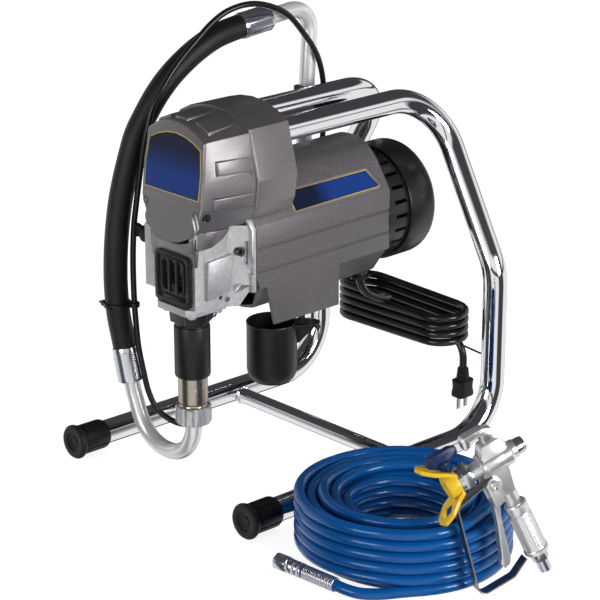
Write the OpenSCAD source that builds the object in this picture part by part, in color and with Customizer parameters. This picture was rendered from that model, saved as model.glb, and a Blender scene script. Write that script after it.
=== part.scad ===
// Airless paint sprayer on a tubular stand, with its spray hose and gun.
// Lengths are millimetres. X runs across the stand, Y from front to back, Z up.

/* [Stand] */
// Outer diameter of the stand's steel tube
tube_d = 28.6; // [26:0.1:30]
// Wall of the stand's tube
tube_wall = 1.5; // [1.2:0.1:2.5]
// Half the distance between the two runners
runner_x = 150.8; // [140:0.1:160]
// Distance from the front of the foot caps to the rear legs
leg_y = 408; // [400:1:420]
// Height at which the rear legs start to lean in
kink_z = 215; // [200:1:230]
// Half the distance between the two top rails
rail_x = 38.9; // [38:0.1:40]
// Height of the top rails at the rear
rail_z = 412.3; // [410:0.1:416]
// Diameter of the crossbar
bar_d = 19; // [16:0.1:20]

/* [Power unit] */
// Height of the motor shaft
motor_z = 281; // [280:0.5:282]
// Half width of the motor shell
shell_x = 66; // [65:0.5:67]
// Radius of the fan shroud
shroud_r = 71; // [69:0.5:72]
// Height of the crankshaft
crank_z = 359.5; // [359:0.1:360]
// Radius of the crank, which is half the stroke
crank_r = 12; // [10:0.5:13]

/* [Pump] */
// Distance of the pump's axis from the front of the stand
pump_y = 60; // [59:0.5:61]
// Radius of the pump cylinder's bore
bore_r = 12.5; // [12:0.1:13]
// Radius of the pump cylinder
cylinder_r = 17.1; // [16.8:0.1:17.3]
// Radius of the pump's black sleeve
sleeve_r = 20.8; // [20:0.1:22]
// Outer diameter of the suction tube
suction_d = 19; // [18:0.1:20]
// Outer diameter of the suction hose
suction_hose_d = 28.4; // [26:0.1:29]
// Outer diameter of the drain hose
drain_d = 7; // [6:0.1:8]

/* [Cords and spray hose] */
// Diameter of the mains cord
cord_d = 9.4; // [8:0.1:9.6]
// Loops in the mains cord's hank
hank_loops = 4; // [3:1:4]
// Outer diameter of the spray hose
hose_d = 12.5; // [11.5:0.1:12.7]
// Radius of the spray hose coil's outermost turn
coil_r = 114; // [110:1:118]
// Layers in the spray hose coil
coil_layers = 6; // [5:1:6]

/* [Gun] */
// Length of the gun's trigger
trigger_len = 90; // [80:1:92]
// Half angle between the two wings of the tip guard
wing_angle = 30; // [26:1:34]

/* [Hidden] */
$fn = 48;
// Position of the object's origin, from the middle of the foot caps' front faces
set_x = 147;
set_y = 212;
shell_front = 100;
shell_rear = 313;
vent_rear = 346;
shroud_rear = 391;
shell_wall = 3;
runner_front_z = 21;
runner_rear_z = 13;
bar_y = 261.6;
bar_z = 11.6;
// Clearance in front of the crank pin, where the rod's linkage is open
pin_gap = 0.4;
// Seam between the straight runs and the bends of a tube
seam = 0.02;
pinion_teeth = 12;
wheel_teeth = 60;
idler_pinion_teeth = 14;
crank_teeth = 56;
fine_module = 1;
coarse_module = 1.5;
idler_x = 20;
idler_rise = sqrt(pow(fine_module * (pinion_teeth + wheel_teeth) / 2, 2) - idler_x * idler_x);
idler_z = motor_z + idler_rise;
mesh_angle = atan2(idler_rise, idler_x);
crank_mesh_angle = atan2(crank_z - idler_z, -idler_x);
coil_centre = [286, 113];
loop_step = 12.95;
coil_spiral_turns = 3;
coil_start = -33.8;
hank_x = [-52, 77];
hank_y = 395;
hank_turn_r = 29;
hank_top_z = 155;
hank_pitch = 10.2;

// Middle line of the suction hose, from the pump's ferrule to the upper ferrule
SUCTION_HOSE = [
    [-112.2, 58.5, 107], [-115.6, 58.2, 122], [-119, 57.8, 137], [-121, 55.5, 155], [-121.5, 52.5, 172],
    [-121.5, 50, 192], [-122, 49, 225], [-122, 51.5, 268], [-121, 57, 310], [-119, 62.5, 338],
    [-116.5, 69.5, 365], [-113, 78, 394], [-109, 90, 417], [-104, 104, 440], [-99, 121, 460],
    [-94, 149, 481], [-90, 181, 496], [-87.7, 216.4, 502.6], [-86.1, 232.2, 504.5], [-84.6, 247, 506.4]];
// Corners of the bent suction tube between the upper ferrule and the strainer
SUCTION_TUBE = [[-84.5, 248, 506.5], [-77, 321.6, 515.6], [-77, 300, 196]];
// Middle line of the drain hose, from the prime valve over the rails to its clip
DRAIN_HOSE = [
    [-54, 96, 238], [-54, 96, 222], [-51, 97, 195], [-44, 98.5, 160], [-37, 100, 125], [-32, 100.5, 95],
    [-32, 99.5, 72], [-41, 96.5, 54], [-55, 91, 47.5], [-68, 82, 52], [-80, 72.5, 64.5], [-88, 67, 85],
    [-94.5, 64.5, 113], [-99, 62, 142], [-102.5, 62, 170], [-105, 62.5, 193], [-106.5, 63, 227],
    [-106.5, 63.5, 256], [-104, 64, 290], [-102, 66, 313], [-99.5, 69, 341], [-95, 75, 390],
    [-92, 79, 410], [-90, 84, 428], [-86.5, 98, 452], [-85, 117, 474], [-83, 144, 497], [-79, 166, 516],
    [-74, 187, 528], [-68, 215, 532.5], [-64, 244, 526], [-61, 268.5, 513], [-60, 291.5, 489],
    [-61.5, 315.5, 459], [-66, 330, 430], [-73, 340, 389], [-79, 343, 340], [-84, 341, 300],
    [-87.2, 332, 258], [-88, 324, 222], [-88, 324, 186]];
// Middle line of the mains cord, from its gland to the hank
CORD_LEAD = [
    [30, 300, 203], [30, 303, 192], [30, 312, 180], [31, 326, 171], [31, 341, 165],
    [26, 354, 162], [17, 362, 159], [5, 365.5, 157], [-10, 366, 155.5], [-26, 366, 155], [-39.5, 366, 155]];
// Middle line of the spray hose's free end, from the coil to the spring guard
HOSE_END = [
    [380.3, 49.1, 6.3], [373.4, 38.5, 6.3], [365.2, 25.9, 6.3], [356.2, 11.2, 6.3], [348, 1, 6.5],
    [338.5, -7.7, 7], [326.1, -13.6, 8.3], [310, -16.8, 9.8], [284, -18.4, 10], [257.5, -20, 10]];

// ---------- vectors and placing ----------
function unit(v) = v / norm(v);
function mix(a, b, t) = a + (b - a) * t;

// Moves the stand's drawing to the object's origin
module set() {
    translate([-set_x, -set_y, 0]) children();
}

module both_sides() {
    children();
    mirror([1, 0, 0]) children();
}

module both_sides_y() {
    children();
    mirror([0, 1, 0]) children();
}

// Turns a child's +Z to a direction and puts its base at a point
module along(p, dir) {
    translate(p) rotate([0, acos(dir.z), atan2(dir.y, dir.x)]) children();
}

// Turns a child's +Z to run towards the back of the stand
module backwards(y = 0) {
    translate([0, y, 0]) rotate([-90, 0, 0]) children();
}

// A drawing in the X-Z plane made thick from y0 to y1
module slab(y0, y1) {
    translate([0, y1, 0]) rotate([90, 0, 0]) linear_extrude(y1 - y0) children();
}

// A drawing in the Y-Z plane made thick from x0 to x1
module side_slab(x0, x1) {
    translate([x0, 0, 0]) rotate([90, 0, 90]) linear_extrude(x1 - x0) children();
}

module box(low, high) {
    translate(low) cube(high - low);
}

module rounded_rect(w, h, r) {
    union() {
        square([w - 2 * r, h], center = true);
        square([w, h - 2 * r], center = true);
        for (sx = [-1, 1])
            for (sy = [-1, 1])
                translate([sx * (w / 2 - r), sy * (h / 2 - r)]) circle(r);
    }
}

module ring(outer, inner, h) {
    difference() {
        cylinder(h = h, r = outer);
        translate([0, 0, -1]) cylinder(h = h + 2, r = inner);
    }
}

module hexagon(across, h) {
    cylinder(h = h, d = across / cos(30), $fn = 6);
}

// ---------- bent tubes with true bends ----------
function bend_angle(a, b) = acos(a * b);
function bend_cut(a, b, r) = r * tan(bend_angle(a, b) / 2);

module elbow(p, a, b, r, d, bore) {
    turn = bend_angle(a, b);
    c = p + unit(b - a) * r / cos(turn / 2);
    x = unit(p - a * bend_cut(a, b, r) - c);
    z = cross(x, a);
    multmatrix([[x.x, a.x, z.x, c.x], [x.y, a.y, z.y, c.y], [x.z, a.z, z.z, c.z], [0, 0, 0, 1]])
        rotate_extrude(angle = turn, $fn = 72) translate([r, 0]) difference() {
            circle(d = d, $fn = 40);
            circle(d = bore, $fn = 40);
        }
}

// Tube through the corners of a path: straight runs, and an elbow at each inner corner
module bent_pipe(path, radii, d, wall) {
    last = len(path) - 1;
    bore = d - 2 * wall;
    for (i = [0:last - 1]) {
        a = unit(path[i + 1] - path[i]);
        cut0 = i == 0 ? 0 : bend_cut(unit(path[i] - path[i - 1]), a, radii[i - 1]) + seam;
        cut1 = i == last - 1 ? 0 : bend_cut(a, unit(path[i + 2] - path[i + 1]), radii[i]) + seam;
        along(path[i] + a * cut0, a) linear_extrude(norm(path[i + 1] - path[i]) - cut0 - cut1)
            difference() {
                circle(d = d, $fn = 40);
                circle(d = bore, $fn = 40);
            }
        if (i < last - 1)
            elbow(path[i + 1], a, unit(path[i + 2] - path[i + 1]), radii[i], d, bore);
    }
}

// ---------- swept cords ----------
// Closed solid through a list of rings that all have the same number of points
module loft(rings) {
    n = len(rings);
    sides = len(rings[0]);
    last = (n - 1) * sides;
    walls = [
        for (i = [0:n - 2])
            for (k = [0:sides - 1])
                let(a = i * sides + k, b = i * sides + (k + 1) % sides)
                    each [[a, a + sides, b], [b, a + sides, b + sides]]];
    caps = [for (k = [1:sides - 2]) each [[0, k, k + 1], [last, last + k + 1, last + k]]];
    polyhedron(points = [for (r = rings) each r], faces = concat(walls, caps), convexity = 6);
}

// One closed tube through the points of a path; ref is never along the path
module swept(path, d, sides, ref) {
    n = len(path);
    loft([
        for (i = [0:n - 1])
            let(
                t = unit(path[min(i + 1, n - 1)] - path[max(i - 1, 0)]),
                u = unit(cross(t, ref)),
                v = cross(t, u))
            [for (k = [0:sides - 1])
                path[i] + d / 2 * (cos(k * 360 / sides) * u + sin(k * 360 / sides) * v)]]);
}

// Least distance between points of a path at least `skip` places apart
function self_gap(path, skip) =
    min([for (i = [0:len(path) - 1 - skip]) for (j = [i + skip:len(path) - 1]) norm(path[i] - path[j])]);

// ---------- gears ----------
function flank_angle(rb, r) = let(k = sqrt(max(pow(r / rb, 2) - 1, 0))) k * 180 / PI - atan(k);

// Outline of an involute gear with a little backlash, first tooth at angle `phase`
function gear_points(teeth, m, phase) =
    let(
        rp = m * teeth / 2,
        rb = rp * cos(25),
        radii = [rp - 1.1 * m, max(rb, rp - 0.5 * m), rp, rp + 0.8 * m],
        half = 90 / teeth - 4.6 * m / rp + flank_angle(rb, rp))
        [for (i = [0:teeth - 1])
            let(c = phase + i * 360 / teeth)
                each concat(
                    [for (k = [0:3]) let(a = c - half + flank_angle(rb, radii[k])) radii[k] * [cos(a), sin(a)]],
                    [for (k = [3:-1:0]) let(a = c + half - flank_angle(rb, radii[k])) radii[k] * [cos(a), sin(a)]])];

module gear(teeth, m, phase, y0, y1) {
    slab(y0, y1) polygon(gear_points(teeth, m, phase));
}

// ---------- stand ----------
cap_depth = 4;
runner_dir = unit([0, leg_y, runner_rear_z - runner_front_z]);
RUNNER = [
    [runner_x, 0, runner_front_z] + runner_dir * (cap_depth + 0.1), [runner_x, leg_y, runner_rear_z],
    [runner_x, leg_y, kink_z], [rail_x, leg_y + 5.3, rail_z], [rail_x, 97, rail_z + 2]];

module rail_tube() {
    bent_pipe(RUNNER, [66, 80, 70], tube_d, tube_wall);
}

module frame_right() {
    color("gainsboro") set() rail_tube();
}

module frame_left() {
    color("gainsboro") set() mirror([1, 0, 0]) rail_tube();
}

module crossbar() {
    color("gainsboro") set() difference() {
        along([-runner_x, bar_y, bar_z], [1, 0, 0]) ring(bar_d / 2, bar_d / 2 - 1.5, 2 * runner_x);
        both_sides() along([runner_x, 0, runner_front_z], runner_dir) cylinder(h = leg_y, d = tube_d + 0.02);
    }
}

module foot_cap() {
    along([runner_x, 0, runner_front_z], runner_dir) difference() {
        union() {
            cylinder(h = 7, r = 20.8);
            cylinder(h = 45, r = 17.6);
        }
        translate([0, 0, cap_depth]) cylinder(h = 42, d = tube_d + 0.1);
        for (groove = [6, 11])
            translate([0, 0, -1]) ring(groove + 1.2, groove, 1.8);
    }
}

module foot_caps() {
    color("dimgray") set() both_sides() foot_cap();
}

// ---------- gear train and housing ----------
// Half of the housing seen from above, from the front face to the wall
HOUSING_PLAN = [[0, 36], [34, 36], [38, 38.5], [44, 50], [46, 74], [62, 95], [65.5, 99.5], [0, 99.5]];
HOUSING_SIDE = [[30, 227], [84, 227], [99.5, 256], [99.5, 318], [90, 322], [30, 322]];

module mirrored_polygon(points) {
    polygon(concat(points, [for (i = [len(points) - 1:-1:0]) if (points[i].x != 0) [-points[i].x, points[i].y]]));
}

module gear_housing() {
    color("silver") set() difference() {
        union() {
            intersection() {
                translate([0, 0, 200]) linear_extrude(140) mirrored_polygon(HOUSING_PLAN);
                side_slab(-80, 80) polygon(HOUSING_SIDE);
            }
            slab(84, 94) translate([0, 371]) rounded_rect(98, 102, 14);
        }
        // Front chamber for the connecting rod, and the gear chamber behind the wall
        box([-25, 30, 238], [25, 84, 340]);
        box([-55, 94, 262], [55, 101, 340]);
        // Seat of the pump
        translate([0, pump_y, 220]) cylinder(h = 20, r = cylinder_r + 0.1);
        // Seat of the fluid manifold on the left
        box([-70, 48, 226], [-44, 93, 306]);
        box([-70, 92, 226], [-44, 106, 245.3]);
        // Bearing seats
        translate([0, 0, crank_z]) backwards(80) cylinder(h = 20, r = 16);
        translate([idler_x, 0, idler_z]) backwards(86) cylinder(h = 20, r = 5);
        // Pockets and screw holes of the visible cheek
        side_slab(57, 70) polygon([[72, 302], [96, 304], [96, 276], [88, 276], [76, 294]]);
        side_slab(52, 70) polygon([[66, 258], [88, 252], [78, 244], [64, 250]]);
        along([40, 84, 293], [1, 0, 0]) cylinder(h = 40, r = 3.1);
        along([38, 64, 240], [1, 0, 0]) cylinder(h = 30, r = 2.5);
        both_sides() along([40, 97, 275], [1, 0, 0]) cylinder(h = 40, r = 1.5);
    }
}

module bearings() {
    color("silver") set() {
        translate([0, 0, crank_z]) backwards(84) ring(16, 10.05, 10);
        translate([0, 0, motor_z]) backwards(120) ring(11, 6.05, 7);
        translate([0, 0, motor_z]) backwards(306) ring(11, 6.05, 7);
    }
}

module armature() {
    color("peru") set() translate([0, 0, motor_z]) difference() {
        union() {
            backwards(108) cylinder(h = 12, r = 4.5);
            backwards(120) cylinder(h = 256, r = 6);
            backwards(158) cylinder(h = 96, r = 31);
            backwards(150) cylinder(h = 112, r = 25);
            backwards(270) cylinder(h = 20, r = 17);
            gear(pinion_teeth, fine_module, mesh_angle, 110.5, 118.5);
        }
        for (k = [0:15])
            rotate([0, k * 22.5, 0]) box([28, 157, -1.2], [32, 255, 1.2]);
    }
}

module cooling_fan() {
    color("dimgray") set() translate([0, 0, motor_z]) difference() {
        union() {
            backwards(350) cylinder(h = 24, r = 14);
            backwards(350) cylinder(h = 2.5, r = 58);
            for (k = [0:8])
                rotate([0, k * 40, 0]) box([12, 351, -1.2], [58, 370, 1.2]);
        }
        backwards(340) cylinder(h = 50, r = 6);
    }
}

module idler_gear() {
    color("lightsteelblue") set() translate([idler_x, 0, idler_z]) {
        backwards(86.5) cylinder(h = 39, r = 4.95);
        difference() {
            union() {
                gear(wheel_teeth, fine_module, mesh_angle + 180 + 180 / wheel_teeth, 111.5, 117.5);
                gear(idler_pinion_teeth, coarse_module, crank_mesh_angle, 97, 111.5);
            }
            backwards(90) cylinder(h = 30, r = 4.95);
        }
    }
}

module crank_gear() {
    color("lightsteelblue") set() translate([0, 0, crank_z]) {
        difference() {
            gear(crank_teeth, coarse_module, crank_mesh_angle + 180 + 180 / crank_teeth, 97.5, 109);
            for (k = [0:4])
                rotate([0, k * 72, 0]) translate([26, 0, 0]) backwards(90) cylinder(h = 30, r = 7);
            backwards(90) cylinder(h = 30, r = 10);
        }
        difference() {
            union() {
                backwards(74) cylinder(h = 38, r = 10);
                backwards(74) cylinder(h = 7, r = 23);
                translate([0, 0, -crank_r]) backwards(66.2) cylinder(h = 9, r = 7);
            }
            translate([0, 0, 16]) backwards(70) cylinder(h = 20, r = 4);
        }
    }
}

// ---------- pump ----------
module connecting_rod() {
    color("lightgray") set() difference() {
        union() {
            translate([0, 0, crank_z - crank_r]) backwards(54) cylinder(h = 66.2 - pin_gap - 54, r = 16.5);
            box([-7, 54, 288], [7, 65.8, 334]);
            box([-15, 51, 274], [15, 69, 290]);
            both_sides() box([8.2, 51, 254], [15, 69, 274.5]);
        }
        translate([0, 0, crank_z - crank_r]) backwards(50) cylinder(h = 20, r = 7.3);
        along([-20, pump_y, 262], [1, 0, 0]) cylinder(h = 40, r = 4);
    }
}

module pump_rod() {
    color("lightgray") set() difference() {
        union() {
            box([-8, 52, 252], [8, 68, 271]);
            translate([0, pump_y, 126]) cylinder(h = 128, r = 7);
            translate([0, pump_y, 112]) cylinder(h = 20, r = bore_r - 0.06);
            along([-14.8, pump_y, 262], [1, 0, 0]) cylinder(h = 29.6, r = 4);
        }
        // Passage through the piston, with the seat of its ball
        translate([0, pump_y, 111]) cylinder(h = 10, r = 4.2);
        translate([0, pump_y, 116]) cylinder(h = 13.5, r = 6.2);
        for (a = [0, 90])
            translate([0, pump_y, 128]) rotate([90, 0, a]) translate([0, 0, -20]) cylinder(h = 40, r = 2.5);
        for (groove = [114, 121, 125])
            translate([0, pump_y, groove]) ring(14, bore_r - 1, 1.2);
    }
}

module outlet_ball() {
    color("lightsteelblue") set() translate([0, pump_y, 116 + sqrt(5.5 * 5.5 - 4.2 * 4.2) + 0.02]) sphere(5.5);
}

module intake_ball() {
    color("lightsteelblue") set() translate([0, pump_y, 88 + sqrt(49 - 5.5 * 5.5) + 0.02]) sphere(7);
}

module intake_valve() {
    color("gray") set() translate([0, pump_y, 84.2]) {
        difference() {
            cylinder(h = 21.8, r = bore_r);
            translate([0, 0, -1]) cylinder(h = 10, r = 5.5);
            translate([0, 0, 3.8]) cylinder(h = 20, r = 8.2);
        }
        along([-9, 0, 20.2], [1, 0, 0]) cylinder(h = 18, r = 1);
    }
}

module pump_packings() {
    color("wheat") set() translate([0, pump_y, 0])
        for (z = [192, 197, 202, 207, 212])
            translate([0, 0, z]) ring(bore_r, 7.05, 4.6);
}

module pump_cylinder() {
    color("tan") set() translate([0, pump_y, 84.2]) difference() {
        ring(cylinder_r, bore_r, 138.8);
        translate([0, 0, 122.8]) backwards() cylinder(h = 30, r = 3);
    }
}

module pump_sleeve() {
    color("dimgray") set() translate([0, pump_y, 0]) rotate_extrude() polygon([
        [cylinder_r, 135], [sleeve_r - 1.5, 135], [sleeve_r, 137], [sleeve_r, 198],
        [sleeve_r - 2, 202.5], [cylinder_r, 202.5]]);
}

module pump_flange() {
    color("silver") set() difference() {
        union() {
            translate([0, 0, 219]) linear_extrude(8) mirrored_polygon(
                [[0, 30], [24, 30], [33, 38], [33, 82], [26, 92], [26, 116], [0, 116]]);
            translate([0, pump_y, 203]) hexagon(46, 16);
        }
        translate([0, pump_y, 190]) cylinder(h = 50, r = cylinder_r);
        for (x = [-17, 17])
            translate([x, 106, 210]) cylinder(h = 30, r = 2.6);
    }
}

module jam_nut() {
    color("lightgray") set() translate([0, pump_y, 77.5]) difference() {
        cylinder(h = 21.5, r = 21);
        translate([0, 0, 3.3]) cylinder(h = 30, r = cylinder_r);
        translate([0, 0, -1]) cylinder(h = 10, r = suction_d / 2 + 0.3);
        for (k = [0:9])
            rotate([0, 0, k * 36]) translate([23.2, 0, -1]) cylinder(h = 30, r = 4.4, $fn = 24);
    }
}

ELBOW_PATH = [[0, pump_y, 83.8], [0, pump_y, 27], [-84, pump_y, 27], [-107, 59, 84], [-112, 58.5, 106]];
ferrule_length = 42;
ferrule_grip = 10;
ferrule_dir = unit(ELBOW_PATH[4] - ELBOW_PATH[3]);

module suction_elbow() {
    color("gainsboro") set() {
        bent_pipe(ELBOW_PATH, [46, 50, 60], suction_d, 1.5);
        translate([0, pump_y, 80.9]) ring(14, suction_d / 2, 2.9);
    }
}

// Crimped ferrule of the suction hose: a collar on the end of a tube and a skirt on the hose
module ferrule(tube_end, dir) {
    along(tube_end - dir * ferrule_grip, dir) difference() {
        cylinder(h = ferrule_length, r = suction_hose_d / 2 + 1.4);
        translate([0, 0, -1]) cylinder(h = 20, r = suction_d / 2 + 0.05);
        translate([0, 0, ferrule_grip + 0.5]) cylinder(h = ferrule_length, r = suction_hose_d / 2 + 0.1);
        for (crimp = [5, 19, 28])
            translate([0, 0, crimp]) ring(20, suction_hose_d / 2 + 0.9, 2.4);
    }
}

upper_dir = unit(SUCTION_TUBE[0] - SUCTION_TUBE[1]);

module hose_ferrules() {
    color("lightsteelblue") set() {
        ferrule(ELBOW_PATH[4], ferrule_dir);
        ferrule(SUCTION_TUBE[0], upper_dir);
    }
}

module suction_hose() {
    color("dimgray") set() swept(SUCTION_HOSE, suction_hose_d, 12, [1, 0, 0]);
}

module suction_tube() {
    color("gainsboro") set() bent_pipe(SUCTION_TUBE, [26], suction_d, 1.5);
}

tube_rise = unit(SUCTION_TUBE[1] - SUCTION_TUBE[2]);
strainer_drop = 36;

// Places a drawing on the strainer's axis, with its base at the strainer's foot
module on_strainer() {
    along(SUCTION_TUBE[2] - tube_rise * strainer_drop, tube_rise) children();
}

module strainer() {
    color("dimgray") set() on_strainer() difference() {
        union() {
            cylinder(h = 34, r = 15);
            cylinder(h = 46, r = 12);
        }
        translate([0, 0, strainer_drop]) cylinder(h = 20, r = suction_d / 2 + 0.05);
        translate([0, 0, 3]) cylinder(h = 40, r = 8);
        for (k = [0:5])
            rotate([0, 0, k * 30]) for (z = [5, 12, 19, 26])
                box([-20, -2, z], [20, 2, z + 4]);
    }
}

// ---------- fluid side ----------
module fluid_manifold() {
    color("silver") set() difference() {
        box([-66, 48.3, 232], [-44.2, 104, 305.7]);
        box([-70, 92, 245], [-40, 110, 320]);
        along([-70, 62, 287], [1, 0, 0]) cylinder(h = 18, r = 5);
        along([-70, 80, 258], [1, 0, 0]) cylinder(h = 20, r = 4);
        translate([-54, 96, 228]) cylinder(h = 12, r = drain_d / 2);
        translate([-56, 70, 228]) cylinder(h = 30, r = 4);
    }
}

LINE_PATH = [[0, 83.3, 207], [0, 100, 207], [-38, 100, 208], [-56, 70, 212], [-56, 70, 236]];

module outlet_fittings() {
    color("lightsteelblue") set() {
        // Line from the pump head to the manifold
        bent_pipe(LINE_PATH, [12, 12, 10], 8, 2);
        translate([0, 0, 207]) backwards(84) difference() {
            hexagon(16, 8);
            translate([0, 0, -1]) cylinder(h = 10, r = 4 + seam);
        }
        // Hose outlet with its external thread
        difference() {
            union() {
                along([-66, 80, 258], [-1, 0, 0]) hexagon(17, 9);
                along([-75, 80, 258], [-1, 0, 0]) cylinder(h = 13, r = 6.6);
                along([-66, 80, 258], [1, 0, 0]) cylinder(h = 14, r = 4);
            }
            along([-95, 80, 258], [1, 0, 0]) cylinder(h = 60, r = 2.2);
        }
        // Prime valve body
        along([-66, 62, 287], [-1, 0, 0]) hexagon(18, 6);
        along([-66, 62, 287], [1, 0, 0]) cylinder(h = 12, r = 5);
    }
}

module prime_lever() {
    color("dimgray") set() translate([0, 62, 287]) {
        along([-72.4, 0, 0], [-1, 0, 0]) cylinder(h = 8, r = 11);
        side_slab(-98, -78) rounded_rect(8, 16, 2);
    }
}

module drain_hose() {
    color("dimgray") set() swept(DRAIN_HOSE, drain_d, 8, [1, 0, 0]);
}

// ---------- covers ----------
// Closed outline of the cover across X-Z: foot, widest point, shoulder and crown
function arch(foot, belly, shoulder, crown) =
    let(
        half = [foot, belly[0], belly[1], shoulder,
            [shoulder.x * 0.68, mix(shoulder.y, crown, 0.56)],
            [shoulder.x * 0.34, mix(shoulder.y, crown, 0.89)]])
        concat(half, [[0, crown]], [for (i = [5:-1:0]) [-half[i].x, half[i].y]]);

FACE_ARCH = arch([36, 296], [[51.5, 348], [51.5, 376]], [49, 424], 441);
STEP_ARCH = arch([58, 322], [[68, 344], [70, 374]], [58, 427], 445);
REAR_ARCH = arch([62, 329], [[69, 344], [73, 374]], [58, 430], 447);
face_lean = 7;

// The same outline with its two feet carried on downwards, for the hollow that stays open below
function deeper(outline, drop) =
    let(last = len(outline) - 1, step = unit(outline[0] - outline[1]) * drop)
        [for (i = [0:last]) outline[i] + (i == 0 ? step : i == last ? [-step.x, step.y] : [0, 0])];

// Ring of the cover's outline at a depth, shrunk inwards by `inset`; `lean` tips it back above the chin
function cover_ring(outline, y, inset, lean = 0) = [
    for (p = outline)
        let(x = p.x * (1 - inset / 60), z = 372 + (p.y - 372) * (1 - inset / 66))
            [x, y + (z - 348) * tan(lean), z]];

module front_cover() {
    color("gray") set() difference() {
        union() {
            loft([cover_ring(STEP_ARCH, 97, 0), cover_ring(FACE_ARCH, 32, 0, face_lean)]);
            loft([cover_ring(REAR_ARCH, 157, 0), cover_ring(REAR_ARCH, 96.5, -0.8)]);
        }
        loft([cover_ring(deeper(STEP_ARCH, 22), 97.8, 3), cover_ring(deeper(FACE_ARCH, 12), 35, 3, face_lean)]);
        loft([cover_ring(deeper(REAR_ARCH, 18), 158, 2.6), cover_ring(deeper(REAR_ARCH, 18), 97.3, 2.6)]);
        // Lower edge: deep at the front, then up over the housing
        side_slab(-90, 90) polygon([[37, 270], [37, 298], [46, 323], [98, 325], [170, 331], [170, 270]]);
        box([-31, 20, 280], [31, 60, 297]);
    }
}

module badge_plates() {
    color("royalblue") set() {
        translate([0, 32, 348]) rotate([-face_lean, 0, 0]) translate([0, 0, -348])
            slab(-0.9, -0.1) polygon([
                [-46, 357], [46, 357], [44, 395], [39, 416], [26, 425], [13, 430], [0, 431.5],
                [-13, 430], [-26, 425], [-39, 416], [-44, 395]]);
        both_sides() multmatrix(CHAMFER_FRAME) linear_extrude(0.8)
            polygon([[160, 4], [300, 4], [288, 33], [160, 33]]);
    }
}

// Outline of the motor shell across X-Z, right half from the crown down
SHELL_HALF = [
    [0, 373], [16, 371.5], [31, 364], [45, 350], [66, 318], [66, 294.2], [65.2, 293.4], [65.2, 292.2],
    [66, 291.4], [66, 267], [65.2, 266.2], [65.2, 265], [66, 264.2], [66, 250], [41, 214], [20, 207], [0, 205]];
// Frame of the decal's chamfer face: drawing X runs back, drawing Y up the slope
CHAMFER_DIR = unit([45, 0, 350] - [66, 0, 318]);
CHAMFER_OUT = unit(cross([0, 1, 0], CHAMFER_DIR));
CHAMFER_FRAME = [
    [0, CHAMFER_DIR.x, CHAMFER_OUT.x, 66 + 0.1 * CHAMFER_OUT.x],
    [1, 0, 0, 0],
    [0, CHAMFER_DIR.z, CHAMFER_OUT.z, 318 + 0.1 * CHAMFER_OUT.z],
    [0, 0, 0, 1]];

module motor_shell() {
    color("gray") set() {
        difference() {
            union() {
                slab(shell_front, shell_rear) mirrored_polygon(SHELL_HALF);
                // Skirts that hang beside the drip cup
                both_sides() side_slab(shell_x - 3, shell_x) polygon([[112, 256], [127, 197], [230, 195], [230, 256]]);
            }
            // Hollow of the shell
            slab(shell_front - 1, shell_rear + 1) mirrored_polygon(
                [[0, 370], [15, 368.5], [29, 361.5], [43, 347.5], [62.5, 317], [62.5, 251], [39.5, 217], [19, 210], [0, 208]]);
            // Mouth for the gear train and the slanted front edge
            box([-80, 90, 320], [80, 128, 400]);
            side_slab(-80, 80) polygon([[90, 262], [101, 256], [127, 195], [127, 180], [90, 180]]);
            // Mouth of the cord gland
            translate([30, 300, 200]) cylinder(h = 20, r = 9);
            translate([-70, 245, 272]) rotate([0, 90, 0]) cylinder(h = 12, r = 8);
        }
    }
}

module vent_ring() {
    color("dimgray") set() translate([0, 0, motor_z]) difference() {
        backwards(shell_rear + 0.2) ring(67, 63.5, vent_rear - shell_rear + 14);
        for (k = [0:23])
            rotate([0, k * 15, 0]) box([60, 324, -2.2], [70, 343, 2.2]);
    }
}

module fan_shroud() {
    color("dimgray") set() translate([0, 0, motor_z]) difference() {
        backwards(vent_rear) rotate_extrude() polygon([
            [67.2, 8], [67.2, 0], [shroud_r - 1, 0], [shroud_r, 1], [shroud_r, 37], [69.5, 42],
            [65, 45], [0, 45], [0, 42.2], [63, 42.2], [68.3, 36], [68.3, 8]]);
        for (k = [-4:4]) {
            half = sqrt(pow(56, 2) - pow(k * 11, 2));
            box([-half, 380, k * 11 - 2.5], [half, 400, k * 11 + 2.5]);
        }
    }
}

module motor_can() {
    color("dimgray") set() translate([0, 0, motor_z]) {
        backwards(127.2) ring(61, 58.5, 178.6);
        // Field magnets
        difference() {
            backwards(160) ring(58.3, 33, 92);
            for (a = [0, 90])
                rotate([0, a, 0]) box([-80, 150, -9], [80, 260, 9]);
        }
    }
}

module motor_bells() {
    color("silver") set() translate([0, 0, motor_z]) {
        difference() {
            backwards(120) cylinder(h = 7, r = 61);
            backwards(110) cylinder(h = 30, r = 11);
            translate([idler_x, 0, idler_z - motor_z]) backwards(110) cylinder(h = 30, r = 5);
        }
        difference() {
            backwards(306) cylinder(h = 7, r = 61);
            backwards(300) cylinder(h = 30, r = 11);
            for (k = [0:5])
                rotate([0, k * 60 + 30, 0]) translate([38, 0, 0]) backwards(300) cylinder(h = 30, r = 11);
        }
        // Brush holders on the rear bell
        for (s = [-1, 1])
            translate([0, 0, s * 27]) box([-6, 271, -9.5], [6, 305.8, 9.5]);
    }
}

module rod_guard() {
    color("dimgray") set() difference() {
        slab(31.8, 35.8) translate([0, 258.5]) rounded_rect(60, 62, 9);
        for (x = [-13, 0, 13])
            slab(30, 40) translate([x, 262]) rounded_rect(6.5, 36, 3);
    }
}

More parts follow.
